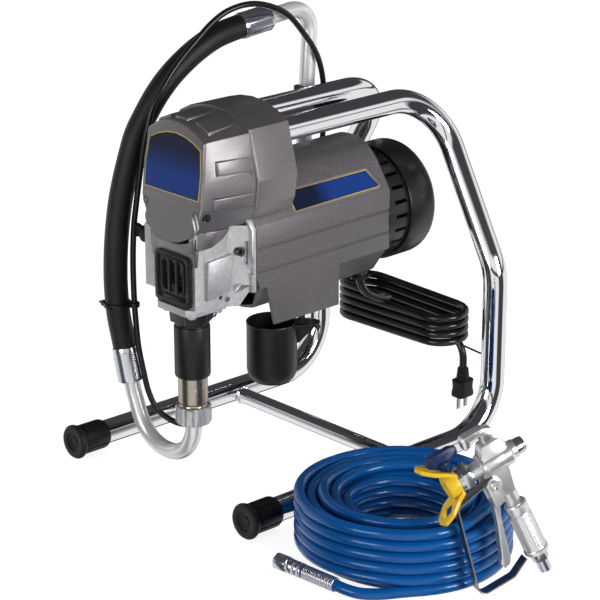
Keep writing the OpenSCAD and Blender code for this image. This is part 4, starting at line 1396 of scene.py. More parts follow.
@dataclass
class MainsCord:
    """Mains cord: out of its gland, into a hank behind the motor, down to the plug.

    Attributes:
        diameter: of the cord.
        across: X of the hank's two turning points.
        turn_y: middle of the hank.
        turn_radius: radius of its turns.
        top: height of the first loop.
        pitch: drop of each loop.
        loops: whole loops.
        bend: radius at which the tail bends down.
        lead: route points from the gland to the hank.
    """

    diameter: float = 9.4
    across: tuple[float, float] = (-52, 77)
    turn_y: float = 395
    turn_radius: float = 29
    top: float = 155
    pitch: float = 10.2
    loops: int = 4
    bend: float = 30
    lead: Route = (
        (30, 300, 203), (30, 303, 192), (30, 312, 180), (31, 326, 171), (31, 341, 165), (26, 354, 162),
        (17, 362, 159), (5, 365.5, 157), (-10, 366, 155.5), (-26, 366, 155), (-39.5, 366, 155))

    def loop_point(self, t: float) -> Vector:
        """Point of the hank after t loops.

        Args:
            t: loops from the start.

        Returns:
            The point.
        """
        low, high = self.across
        straight, arc = high - low, pi * self.turn_radius
        w = (t - floor(t)) * 2 * (straight + arc)
        z, r, y = self.top - self.pitch * t, self.turn_radius, self.turn_y
        if w < arc:
            a = pi * w / arc
            return Vector((low - r * sin(a), y - r * cos(a), z))
        if w < arc + straight:
            return Vector((low + w - arc, y + r, z))
        if w < 2 * arc + straight:
            a = pi * (w - arc - straight) / arc
            return Vector((high + r * sin(a), y + r * cos(a), z))
        return Vector((high - (w - 2 * arc - straight), y - r, z))

    def route(self) -> list[Vector]:
        """Middle line from the gland to the plug.

        Returns:
            The line's points.
        """
        hank = [self.loop_point(i / 48) for i in range(48 * self.loops + 23)]
        last = hank[-1]
        tail = [last + Vector((self.bend * sin(a), 0, self.bend * (cos(a) - 1)))
            for a in (radians(9 * k) for k in range(1, 11))]
        return [*flowing(self.lead, 5), *hank, *tail, tail[-1] + Vector((0, 0, -self.diameter))]

    def plug(self, end: Vector) -> Piece:
        """Moulded plug with its ribbed strain relief, grip waists and prongs, hanging from the cord.

        Args:
            end: end of the cord.

        Returns:
            The plug, in place.
        """
        relief = Bench.turned(
            [(0, 0.1), (5.6, 0.1), (6, 0.6), *[p for k in range(5) for p in (
                (6.1 + 0.35 * k, 1.4 + 2.9 * k), (7.0 + 0.3 * k, 1.8 + 2.9 * k), (7.0 + 0.3 * k, 3.2 + 2.9 * k),
                (6.3 + 0.35 * k, 3.6 + 2.9 * k))],
             (8, 16.5), (0, 16.5)], steps=24)
        body = Bench.slab(rounded(20, 26, 6), 16, 38, Plane.XY)
        Bench.choose(body, lambda c, n: abs(n.z) < 0.2)
        bpy.ops.mesh.subdivide(number_cuts=3)
        Bench.done()
        for vertex in body.data.vertices:
            waist = 1 - 0.10 * sin(pi * min(1, max(0, (vertex.co.z - 18) / 14)))
            vertex.co.x, vertex.co.y = vertex.co.x * waist, vertex.co.y * waist
        Bench.bevel(body, 1.6, 3, 40)
        prongs = [Bench.block((-1, s * 6.3 - 3.2, 38), (0.5, s * 6.3 + 3.2, 54), 0.4) for s in (-1, 1)]
        pin = Bench.turned([(0, 38), (2.4, 38), (2.4, 55), (1.6, 56), (0, 56)], base=(-6, 0, 0), steps=20)
        plug = Bench.join(body, relief, *prongs, pin)
        Bench.paint(plug, STEEL, lambda c, n: c.z > 38.1)
        plug.data.transform(Matrix.Translation(end) @ Matrix.Rotation(pi, 4, "X"))
        return Bench.present(plug, "mains_plug_body", RUBBER, "mains_plug")

    def build(self) -> None:
        """Makes the cord, the gland and the plug."""
        route = self.route()
        cord = Bench.pipe(route, self.diameter / 2, 14)
        Bench.present(cord, "mains_cord", CORD, "mains_lead", "mains_hank", angle=60)
        plug = self.plug(route[-1])
        Bench.soften("cord_gland", "gland", PLASTIC, 0.8, 3)


@dataclass
class SprayHose:
    """Coiled spray hose, its free end and its fittings.

    Attributes:
        diameter: of the hose.
        centre: middle of the coil.
        start: angle at which the coil starts, in degrees.
        outer: radius of the outermost column.
        step: distance between turns and between columns.
        turns: turns in each column, from the outermost in.
        cross_over: part of a turn in which the hose changes columns.
        points: points in a turn.
        free_end: route points between the coil and the fitting.
    """

    diameter: float = 12.5
    centre: tuple[float, float] = (286, 113)
    start: float = -33.8
    outer: float = 114
    step: float = 12.95
    turns: tuple[int, ...] = (5, 5, 5, 5, 4)
    cross_over: float = 0.12
    points: int = 64
    free_end: Route = (
        (380.3, 49.1, 6.3), (373.4, 38.5, 6.3), (365.2, 25.9, 6.3), (356.2, 11.2, 6.3), (348, 1, 6.5), (338.5, -7.7, 7),
        (326.1, -13.6, 8.3), (310, -16.8, 9.8), (284, -18.4, 10), (257.5, -20, 10))

    def wobble(self) -> Outline:
        """Amplitude and phase of the coil's small waves, the same for every turn."""
        draw = random.Random(11)
        return [(draw.uniform(0.25, 0.7), draw.uniform(0, 2 * pi)) for _ in range(4)]

    def coil(self) -> list[Vector]:
        """Middle line of the coil, from the free end's side to its inner end.

        Returns:
            The line's points.
        """
        waves = self.wobble()
        drift = random.Random(7)
        sway = [drift.uniform(-1.0, 1.0) for _ in range(sum(self.turns) + 2)]
        line = []
        before = 0
        for column, count in enumerate(self.turns):
            for k in range(count * self.points):
                t = k / self.points
                change = min(1.0, t / self.cross_over) if column else 1.0
                ease = change * change * (3 - 2 * change)
                radius = self.outer - self.step * (column - 1 + ease if column else 0)
                height = self.step * (t if column % 2 == 0 else self.turns[0] - t)
                turn = before + t
                angle = radians(self.start) + 2 * pi * turn
                wave = sum(a * sin((n + 2) * angle + p) for n, (a, p) in enumerate(waves))
                i, f = int(turn), turn - int(turn)
                f = f * f * (3 - 2 * f)
                wave += 0.22 * (sway[i] * (1 - f) + sway[i + 1] * f)
                fade = min(1.0, turn / 0.35)
                radius += wave * fade
                line.append(Vector((self.centre[0] + radius * cos(angle), self.centre[1] + radius * sin(angle),
                    self.diameter / 2 + height)))
            before += count
        return line

    def route(self) -> list[Vector]:
        """Middle line from the fitting to the coil's inner end.

        Returns:
            The line's points.
        """
        coil = self.coil()
        free = flowing([*self.free_end[::-1][:-1], coil[0], coil[5], coil[10]], 6)
        nearest = free.index(min(free, key=lambda p: (p - coil[0]).length))
        return [*free[:nearest], *coil]

    def guard(self, tip: Vector, out: Vector) -> Piece:
        """Spring guard, crimped ferrule and hexagon of the free end.

        Args:
            tip: end of the hose.
            out: way the hose ends.

        Returns:
            The fitting, in place.
        """
        place = turned_frame(tip - out * 9, out)
        ferrule = Bench.turned([(6.3, 0), (7.7, 0), (8.2, 0.6), (8.2, 4), (7.6, 4.6), (7.6, 6.6), (8.2, 7.2),
            (8.2, 11), (7.6, 11.6), (7.6, 13.6), (8.2, 14.2), (8.2, 21.4), (7.6, 22), (3.1, 22), (3.1, 10.1),
            (6.3, 10.1)], steps=40)
        nut = Bench.slab(hexagon(9.815, 30), 22, 38, Plane.XY)
        crown = Bench.turned([(0, 21), (8.4, 21), (9.9, 23.4), (9.9, 36), (8.8, 39), (0, 39)], steps=48)
        Bench.combine(nut, "INTERSECT", [crown])
        Bench.cut(nut, Bench.turned([(0, 24), (6.6, 24), (7.2, 39.1), (0, 39.1)], steps=40))
        fitting = Bench.join(ferrule, nut)
        fitting.data.transform(place)
        turns, steps, wire, radius, pitch, back = 19, 20, 1.0, 7.0, 2.3, 55.0
        coil = []
        u = out.cross(Vector((0, 0, 1))).normalized()
        v = out.cross(u)
        for k in range(turns * steps + 1):
            a = 2 * pi * k / steps
            coil.append(tip + out * (pitch * k / steps - back) + (u * cos(a) + v * sin(a)) * radius)
        spring = Bench.pipe(coil, wire, 8)
        return Bench.present(Bench.join(fitting, spring), "hose_end_fitting", ZINC, "hose_fittings", angle=50)

    def inner_fitting(self, line: Sequence[Vector]) -> Piece:
        """Ferrule and hexagon on the coil's inner end.

        Args:
            line: middle line of the hose.

        Returns:
            The fitting, in place.
        """
        tip = line[-1]
        out = (line[-1] - line[-4]).normalized()
        ferrule = Bench.turned([(6.35, 0), (7.6, 0), (8.1, 0.6), (8.1, 19), (7.4, 20), (3.1, 20), (3.1, 8.1),
            (6.35, 8.1)], steps=36)
        nut = Bench.slab(hexagon(9.2), 20, 33, Plane.XY)
        Bench.cut(nut, Bench.rod(5.8, 22, 34, steps=32))
        fitting = Bench.join(ferrule, Bench.bevel(nut, 0.6))
        fitting.data.transform(turned_frame(tip - out * 8, out))
        return Bench.present(fitting, "hose_inner_fitting", ZINC)

    def build(self) -> None:
        """Makes the hose and its fittings."""
        route = self.route()
        hose = Bench.pipe(route, self.diameter / 2, 16)
        Bench.present(hose, "spray_hose", HOSE_BLUE, "spray_hose_coil", "spray_hose_end", angle=60)
        out = (route[0] - route[1]).normalized()
        self.guard(route[0], out)
        inner = self.inner_fitting(route)


@dataclass
class Cover:
    """Grey cast cover over the gears, with its badge.

    Attributes:
        lean: degrees that the face leans back.
        face: half outline of the face, from the foot up.
        step: half outline where the front part meets the rear part.
        rear: half outline of the rear edge.
        face_y: depth of the face.
        step_y: depth of the step.
        rear_y: depth of the rear edge.
        crowns: heights of the three outlines' tops.
        badge: outline of the badge.
    """

    lean: float = 7
    face_y: float = 32
    step_y: float = 97
    rear_y: float = 157
    face: Corners = ((36, 296), (51.5, 348), (51.5, 376), (49, 424))
    step: Corners = ((58, 322), (68, 344), (70, 374), (58, 427))
    rear: Corners = ((62, 329), (69, 344), (73, 374), (58, 430))
    crowns: tuple[float, float, float] = (441, 445, 447)
    badge: Corners = (
        (-46.6, 357.5), (46.6, 357.5), (47.2, 388), (43.6, 415.5), (30, 422.3), (15, 426.7), (0, 428.3),
        (-15, 426.7), (-30, 422.3), (-43.6, 415.5), (-47.2, 388))

    @staticmethod
    def arch(half: Flat, crown: float) -> Outline:
        """Closed outline from its foot over the crown to the other foot.

        Args:
            half: half of the outline, from the foot up.
            crown: height of the top.

        Returns:
            The outline.
        """
        shoulder = half[-1]
        right = [*half, (shoulder[0] * 0.68, shoulder[1] + (crown - shoulder[1]) * 0.56),
            (shoulder[0] * 0.34, shoulder[1] + (crown - shoulder[1]) * 0.89)]
        return mirrored([*right, (0, crown)])

    def ring(self, outline: Flat, y: float, inset: float, lean: float = 0) -> list[Vector]:
        """The outline at a depth, shrunk and tipped back.

        Args:
            outline: across the cover.
            y: its depth.
            inset: how much it shrinks.
            lean: degrees that it leans back.

        Returns:
            The ring's points.
        """
        ring = []
        for x, z in outline:
            high = 372 + (z - 372) * (1 - inset / 66)
            ring.append(Vector((x * (1 - inset / 60), y + (high - 348) * tan(radians(lean)), high)))
        return ring

    def deeper(self, outline: Flat, drop: float) -> Outline:
        """The outline with its feet carried on downwards.

        Args:
            outline: across the cover.
            drop: length added to each foot.

        Returns:
            The outline.
        """
        step = (Vector(outline[0]) - Vector(outline[1])).normalized() * drop
        first, last = outline[0], outline[-1]
        return [(first[0] + step.x, first[1] + step.y), *outline[1:-1], (last[0] - step.x, last[1] + step.y)]

    def shell(self) -> Piece:
        """Casting with soft facets, hollow, open below.

        Returns:
            The casting.
        """
        face, step, rear = (self.arch(h, c) for h, c in zip((self.face, self.step, self.rear), self.crowns))
        y, lean = self.face_y, self.lean
        front = Form.loft([
            self.ring(step, self.step_y, 0), self.ring(face, y + 5, 0.0, lean), self.ring(face, y + 2.2, 0.7, lean),
            self.ring(face, y + 0.7, 2.0, lean), self.ring(face, y, 3.8, lean)])
        Bench.bevel(front, 2.6, 3, 16)
        back = Form.loft([self.ring(rear, self.rear_y, 0.9), self.ring(rear, self.rear_y - 0.9, 0),
            self.ring(rear, self.step_y + 1.2, -0.8), self.ring(rear, self.step_y - 0.6, 0.4)])
        Bench.bevel(back, 3.0, 3, 16)
        Bench.fuse(front, back)
        self.ribs(front)
        channels, walls = [], []
        for side in (1, -1):
            seat = (side * 49, 28.2, 322), (side * -0.38, 0.123, 1), 28
            channels.append(Bench.turned([(0, -16), (5.2, -16), (5.2, 21), (4.3, 24.2), (2.4, 26), (0, 26.6)], *seat))
            walls.append(Bench.turned([(0, -16), (7.8, -16), (7.8, 24), (5, 29), (0, 30)], *seat))
        back_foot, chin = self.deeper(rear, 18), [(x, 304.5 + x * x / 112) for x in range(45, -46, -5)]
        hollow = Form.loft([self.ring(self.deeper(step, 22), self.step_y + 0.8, 3),
            self.ring(self.deeper(face, 12), y + 3, 3, lean)])
        tools = [
            Bench.cut(hollow, *walls),
            Form.loft([self.ring(back_foot, self.rear_y + 1, 2.6), self.ring(back_foot, self.step_y + 0.3, 2.6)]),
            Bench.slab([(37, 270), (170, 270), (170, 331), (98, 325), (60, 323), (52, 320.5), (46.5, 314), (43, 303),
                (38, 296)], -90, 90, Plane.YZ),
            Bench.slab([(-45, 270), (45, 270), *chin], 18, 47, Plane.XZ),
            *channels,
        ]
        for side in (1, -1):
            tools.append(Bench.turned([(0, 0), (4.8, 0), (6.4, 12), (0, 12)], (side * 46.5, 41.5, 338.5),
                (side, -0.25, 0), 28))
        return Bench.cut(front, *tools)

    def ribs(self, cover: Piece) -> None:
        """Wedge ribs on the top and the sides: tall in front, running out at the step.

        Args:
            cover: the casting that they are fused to.
        """
        ribs = []
        for low, high, front in ((384.5, 403, 50), (345.5, 362, 45)):
            base = [Form.touch(cover, (120, y, z), (-1, 0, 0)) for y, z in ((front, low), (front, high),
                (95, high + 0.5), (95, low + 0.5))]
            rib = Form.wedge(base, Vector((0.96, -0.25, 0.1)).normalized(), 3.9)
            ribs += [rib, Bench.copy(rib, MIRROR)]
        for x, wide, front in ((0, 11, 48), (31, 12, 51), (-31, 12, 51)):
            base = [Form.touch(cover, (x + s * wide, y, 520), (0, 0, -1))
                for s, y in ((-1, front), (1, front), (1, 95), (-1, 95))]
            ribs.append(Form.wedge(base, Vector((x * 0.008, -0.2, 1)).normalized(), 3.6))
        Bench.fuse(cover, *ribs)

    def lips(self) -> list[Piece]:
        """Stepped lip under the chin, its side legs, and the band that runs back over the housing.

        Returns:
            The pieces.
        """
        arc = [(x, 301.2 + x * x / 120) for x in range(36, -37, -4)]
        lower = [(x, 291.2 + x * x / 150) for x in range(-36, 37, 4)]
        lip = Bench.slab([*lower, *arc], 33.2, 37.5, bevel=0.9)
        legs = [(-37, 279), (-28.5, 279), (-28.5, 285.2), (28.5, 285.2), (28.5, 279), (37, 279), (39, 300), (-39, 300)]
        apron = Bench.slab(legs, 34.4, 38.4, bevel=0.8)
        made = [lip, apron]
        for side in (1, -1):
            band = Form.loft([[Vector((side * x, y, z)) for x, z in ((38, low), (x1, low), (x1 + 1.6, 321), (40, 321))]
                for y, x1, low in ((36, 40.5, 299), (50, 47.2, 302), (66, 48.0, 309), (76, 47.2, 317))])
            made.append(Bench.bevel(band, 0.9, 2, 30))
        return made

    def plates(self) -> Piece:
        """Badge on the face: grey rim, yellow border and a bare blue plate, each a little prouder than the last.

        Returns:
            The badge.
        """
        place = (Matrix.Translation((0, self.face_y, 348)) @ Matrix.Rotation(radians(-self.lean), 4, "X")
            @ Matrix.Translation((0, 0, -348)) @ Matrix.Rotation(radians(90), 4, "X"))
        outline = smooth_outline(self.badge, 2.2, 3)
        layers = []
        for inset, high, finish in ((-2.1, 0.35, RIM), (0.9, 0.55, BORDER), (1.8, 0.75, BADGE)):
            layer = Form.prism(offset(outline, inset), place, -0.3, high)
            Bench.bevel(layer, 0.12, 1)
            layer.data.materials.append(finish.material())
            layers.append(layer)
        return Bench.join(*layers)

    def build(self) -> None:
        """Makes the cover and its badge."""
        cover = Bench.join(self.shell(), *self.lips())
        Bench.present(cover, "front_cover_casting", GREY_PAINT, "front_cover", angle=32)
        Bench.present(self.plates(), "front_badge", BADGE, "badge_plates")


@dataclass
class Motor:
    """Motor shell with its decals, vent ring and fan shroud.

    Attributes:
        axis_z: height of the shaft.
        front: front of the shell.
        rear: rear of the shell.
        half: half outline of the shell, from the crown down.
        shroud: front of the fan shroud, and its radius.
    """

    axis_z: float = 281
    front: float = 100
    rear: float = 313
    shroud: tuple[float, float] = (346, 71)
    half: Corners = (
        (0, 373), (9, 372.6), (16, 371.4), (24, 368.4), (31, 364), (38, 357.6), (45, 350), (64.6, 320), (66, 316.5),
        (66, 294.6), (64.9, 293.2), (64.9, 292.0), (66, 290.8), (66, 267.4), (64.9, 266), (64.9, 264.8), (66, 263.6),
        (66, 246), (64.9, 244.8), (64.9, 243.8), (60.8, 242.4), (41, 214), (37, 211.4), (20, 207), (0, 205))

    def shell(self) -> Piece:
        """Extruded shell with its grooves, skirts and slanted mouth.

        Returns:
            The shell.
        """
        body = Bench.slab(mirrored(self.half)[::-1], self.front, self.rear)
        Bench.bevel(body, 0.9, 2, 50)
        skirt = Bench.slab([(112, 256), (127, 197), (230, 195), (230, 256)], 63, 66, Plane.YZ, 0.8)
        Bench.fuse(body, skirt, Bench.copy(skirt, MIRROR))
        inner = [(0, 370), (15, 368.5), (29, 361.5), (43, 347.5), (62.5, 317), (62.5, 251), (39.5, 217), (19, 210),
            (0, 208)]
        hollow = Bench.slab(mirrored(inner)[::-1], self.front - 1, self.rear + 1)
        mouth = Bench.block((-55, 90, 318), (55, 128, 400))
        slant = Bench.slab([(90, 262), (101, 256), (127, 195), (127, 180), (90, 180)], -80, 80, Plane.YZ)
        gland = Bench.rod(9, 0, 20, (30, 300, 200))
        wires = Bench.rod(8, 0, 12, (-70, 245, 272), (1, 0, 0))
        return Bench.cut(body, hollow, mouth, slant, gland, wires)

    def decals(self) -> Piece:
        """Bare side decals: rim, yellow border and blue field.

        Returns:
            Both decals.
        """
        slope = (Vector((45, 0, 350)) - Vector((66, 0, 318))).normalized()
        out = Vector((0, 1, 0)).cross(slope).normalized()
        base = Vector((66, 0, 318)) + out * 0.05
        place = Matrix((
            (0, slope.x, out.x, base.x), (1, 0, 0, 0), (0, slope.z, out.z, base.z), (0, 0, 0, 1)))
        outline = [(160, 4), (296, 4), (302, 7), (290, 33), (160, 33)]
        layers = []
        for inset, high, finish in ((0, 0.25, RIM), (2.4, 0.45, BORDER), (3.4, 0.6, DECAL)):
            layer = Form.prism(offset(smooth_outline(outline, 2, 2), inset), place, -0.2, high)
            layer.data.materials.append(finish.material())
            layers.append(layer)
        return Bench.mirror(Bench.join(*layers))

    def shroud_piece(self) -> Piece:
        """Rear fan shroud: rolled front lip, rounded rear edge and slotted back.

        Returns:
            The shroud.
        """
        low, r = self.shroud
        section = [(67.3, 9), (67.3, 0.4), (67.7, 0), (r - 1.2, 0), (r - 0.3, 0.35), (r, 1.2), (r, 36), (70.6, 38.5),
            (69.5, 41), (67.6, 43.3), (65, 44.6), (62.5, 45), (0, 45), (0, 42.4), (62, 42.4), (66.6, 39), (68.4, 35),
            (68.4, 9)]
        piece = Bench.turned(section, (0, low, self.axis_z), (0, 1, 0), 96)
        slots = []
        for k in range(-4, 5):
            half = sqrt(56 ** 2 - (k * 11) ** 2)
            slot = Bench.slab(rounded(2 * half, 5, 2.4, (0, self.axis_z + k * 11), 4), 380, 400)
            slots.append(slot)
        Bench.cut(piece, Bench.join(*slots))
        return Bench.bevel(piece, 0.35, 2, 50)

    def vents(self) -> Piece:
        """Slotted ring between the shell and the shroud.

        Returns:
            The ring.
        """
        ring = Bench.turned([(63.5, 0.2), (66.5, 0.2), (67, 0.8), (67, 46.8), (63.5, 46.8)],
            (0, self.rear, self.axis_z), (0, 1, 0), 96)
        slot = Bench.block((60, 324, self.axis_z - 2.2), (70, 343, self.axis_z + 2.2), 1.2)
        slots = Bench.round_about(slot, 24, (0, 0, self.axis_z), (0, 1, 0))
        return Bench.cut(ring, slots)

    def build(self) -> None:
        """Makes the shell, the decals, the vents and the shroud."""
        Bench.present(self.shell(), "motor_shell_casting", SHELL_PAINT, "motor_shell", angle=32)
        Bench.present(self.decals(), "side_decals", DECAL)
        Bench.present(self.shroud_piece(), "fan_shroud_cap", SHROUD_PAINT, "fan_shroud", angle=35)
        Bench.present(self.vents(), "vent_ring_slots", SHROUD_PAINT, "vent_ring", angle=35)


@dataclass
class Housing:
    """Cast gear housing, its front guard and the screws."""

    def casting(self) -> Piece:
        """Housing with the ledge, the rear edge and the pockets of its right cheek.

        Returns:
            The housing.
        """
        body = Bench.from_node("gear_housing")
        ledge = Form.loft([((40, 44, 286), (48, 44, 286), (46.5, 44, 240), (40, 44, 238)),
            ((40, 76, 290), (52.5, 76, 290), (50.5, 76, 246), (40, 76, 244))])
        edge = Form.loft([
            ((58, 93, 243), (66.3, 93, 243), (66.3, 99.4, 243), (58, 99.4, 243)),
            ((58, 93, 317), (66.3, 93, 317), (66.3, 99.4, 317), (58, 99.4, 317)),
            ((56, 90, 329), (60, 90, 329), (60, 99.4, 329), (56, 99.4, 329))])
        Bench.fuse(body, Bench.bevel(ledge, 1.4, 2, 30), Bench.bevel(edge, 1.2, 2, 30))
        pockets = [
            Bench.turned([(0, 0), (6.6, 0), (7.6, 12), (0, 12)], (51.5, 85.5, 291.5), (1, -0.35, 0), 32),
            Bench.rod(1.5, 0, 12, (55, 92.5, 278), (1, -0.2, 0), 16),
            Bench.turned([(0, 0), (2.7, 0), (3.4, 12), (0, 12)], (41, 75, 236.5), (1, -0.35, -0.1), 20),
            Bench.slab([(70, 249.5), (75, 253.5), (95, 251.5), (81, 242)], 49.5, 75, Plane.YZ, 0.9),
            Bench.slab([(84, 286), (95, 285), (95, 264.5), (88, 265.5), (83, 272)], 58.6, 75, Plane.YZ, 0.9),
        ]
        Bench.cut(body, *pockets)
        return Bench.bevel(body, 0.8, 2, 40)

    def guard(self) -> Piece:
        """Black guard: raised frame, dished middle and three deep slots of different lengths.

        Returns:
            The guard.
        """
        plate = Bench.slab(rounded(60, 62, 9, (0, 258.5)), 31.8, 35.8)
        dish = Bench.bevel(Bench.slab(rounded(49, 50, 6, (0, 259.5)), 29, 33.4), 1.0, 2, 40)
        Bench.cut(plate, dish)
        frame_line = Bench.slab(rounded(40, 42, 8, (0, 262)), 32.4, 34.2)
        Bench.cut(frame_line, Bench.slab(rounded(35, 37, 6, (0, 262)), 30, 36))
        Bench.fuse(plate, frame_line)
        slots = [Bench.slab(rounded(6.6, high, 3, (x, z)), 28, 40) for x, z, high in ((-12, 261, 34), (0.5, 265, 26),
            (13, 261, 32))]
        Bench.cut(plate, *slots)
        bars = [Bench.block((x - 2.2, 31.9, low), (x + 2.2, 34.4, high), 0.8)
            for x, low, high in ((-6, 240, 281), (6.8, 240, 281))]
        foot = Bench.block((-17, 31.9, 232.5), (19, 34.4, 238.5), 1.0)
        return Bench.join(Bench.bevel(plate, 0.7, 2, 40), *bars, foot)

    def screws(self) -> Piece:
        """Screws of the housing, the cover and the shroud.

        Returns:
            All screws.
        """
        made = [Form.screw((52.6, 85.2, 291.5), (1, -0.35, 0), 4.6, 4.2), Form.screw((47.5, 41.2, 338.5),
            (1, -0.25, 0), 3.2, 2.4), Form.screw((-47.5, 41.2, 338.5), (-1, -0.25, 0), 3.2, 2.4)]
        for angle in (25, 155, 270):
            a = radians(angle)
            out = Vector((cos(a), 0, sin(a)))
            made.append(Form.screw(out * 71 + Vector((0, 352, 281)), out, 3.0, 1.6))
        return Bench.join(*made)

    def build(self) -> None:
        """Makes the housing, the guard and the screws."""
        Bench.present(self.casting(), "gear_housing_casting", CAST, "gear_housing", angle=32)
        Bench.present(self.guard(), "rod_guard_frame", PLASTIC, "rod_guard")
        Bench.present(self.screws(), "case_screw_heads", BLACK_STEEL, "case_screws")


@dataclass
class Stand:
    """Bent chrome tubes, the crossbar, the foot caps and the bracket.

    Attributes:
        tube: outer diameter of the tube.
        half: distance of the runners from the middle.
        rail: half distance of the top rails.
        leg_y: distance of the rear legs from the front.
        kink_z: height at which the legs lean in.
        rail_z: height of the top rails.
        front_z: height of the runners in front.
        rear_z: height of the runners behind.
        bar: distance from the front, height and radius of the crossbar.
    """

    tube: float = 28.6
    half: float = 150.8
    rail: float = 38.9
    leg_y: float = 408
    kink_z: float = 215
    rail_z: float = 412.3
    front_z: float = 21
    rear_z: float = 13
    bar: tuple[float, float, float] = (261.6, 11.6, 9.5)

    def runner_way(self) -> Vector:
        """Direction of a runner from its front end."""
        return Vector((0, self.leg_y, self.rear_z - self.front_z)).normalized()

    def side(self, name: str, node: str, sign: int) -> None:
        """One bent tube: runner, rear leg and top rail.

        Args:
            name: the piece's name.
            node: the CAD node.
            sign: 1 for the right tube, -1 for the left.
        """
        way = self.runner_way()
        start = Vector((self.half, 0, self.front_z)) + way * 4.1
        corners = [start, (self.half, self.leg_y, self.rear_z), (self.half, self.leg_y, self.kink_z),
            (self.rail, self.leg_y + 5.3, self.rail_z), (self.rail, 97, self.rail_z + 2)]
        line = [Vector((sign * p.x, p.y, p.z)) for p in bent(corners, [66, 80, 70], 4)]
        tube = Bench.pipe(line, self.tube / 2, 40)
        Bench.present(tube, name, CHROME, node, angle=50)

    def crossbar(self) -> Piece:
        """Crossbar with coped ends and a rippled weld round each.

        Returns:
            The crossbar.
        """
        y, z, r = self.bar
        bar = Bench.rod(r, 0, 2 * self.half, (-self.half, y, z), (1, 0, 0), 40)
        way = self.runner_way()
        for sign in (-1, 1):
            Bench.cut(bar, Bench.rod(self.tube / 2 + 0.05, 0, self.leg_y, (sign * self.half, 0, self.front_z), way,
                48))
        welds = []
        for sign in (-1, 1):
            ring = []
            for k in range(49):
                a = 2 * pi * k / 48
                side_z = r * sin(a)
                reach = sqrt(max(1.0, (self.tube / 2) ** 2 - side_z ** 2)) + 1.2
                ring.append((sign * (self.half - reach), y + (r + 0.3) * cos(a), max(2.1, z + (r + 0.3) * sin(a))))
            bead = Bench.pipe(ring, 1.7, 8, [1 + 0.22 * sin(k * 2.1) for k in range(49)])
            welds.append(bead)
        return Bench.join(bar, *welds)

    def cap(self) -> Piece:
        """Rubber foot cap: rolled flange, ringed front and grip bars round its barrel.

        Returns:
            The cap, upright at the origin.
        """
        section = [(0, 1.6), (5.8, 1.6), (6.2, 0.9), (6.6, 1.6), (10.6, 1.6), (11.1, 0.6), (12.6, 0.2), (17.8, 0),
            (19.6, 0.6), (20.7, 2.2), (20.8, 4.2), (20.0, 6.3), (18.2, 7.6), (17.0, 8.6), (16.9, 43.6), (16.4, 45),
            (14.45, 45), (14.45, 4.02), (0, 4.02)]
        cap = Bench.turned(section, steps=72)
        bar = Bench.block((16.4, -3.6, 11), (17.6, 3.6, 42.5), 0.55)
        bars = Bench.round_about(bar, 10)
        return Bench.join(cap, bars)

    def build(self) -> None:
        """Makes the stand."""
        self.side("left_tube", "frame_left", -1)
        self.side("right_tube", "frame_right", 1)
        Bench.present(self.crossbar(), "crossbar_tube", CHROME, "crossbar", angle=45)
        cap = self.cap()
        cap.data.transform(turned_frame((self.half, 0, self.front_z), self.runner_way()))
        Bench.present(Bench.mirror(cap), "rubber_foot_caps", RUBBER, "foot_caps", angle=35)
        Bench.soften("rail_bracket", "rail_bracket_plate", GREY_PAINT, 0.8)


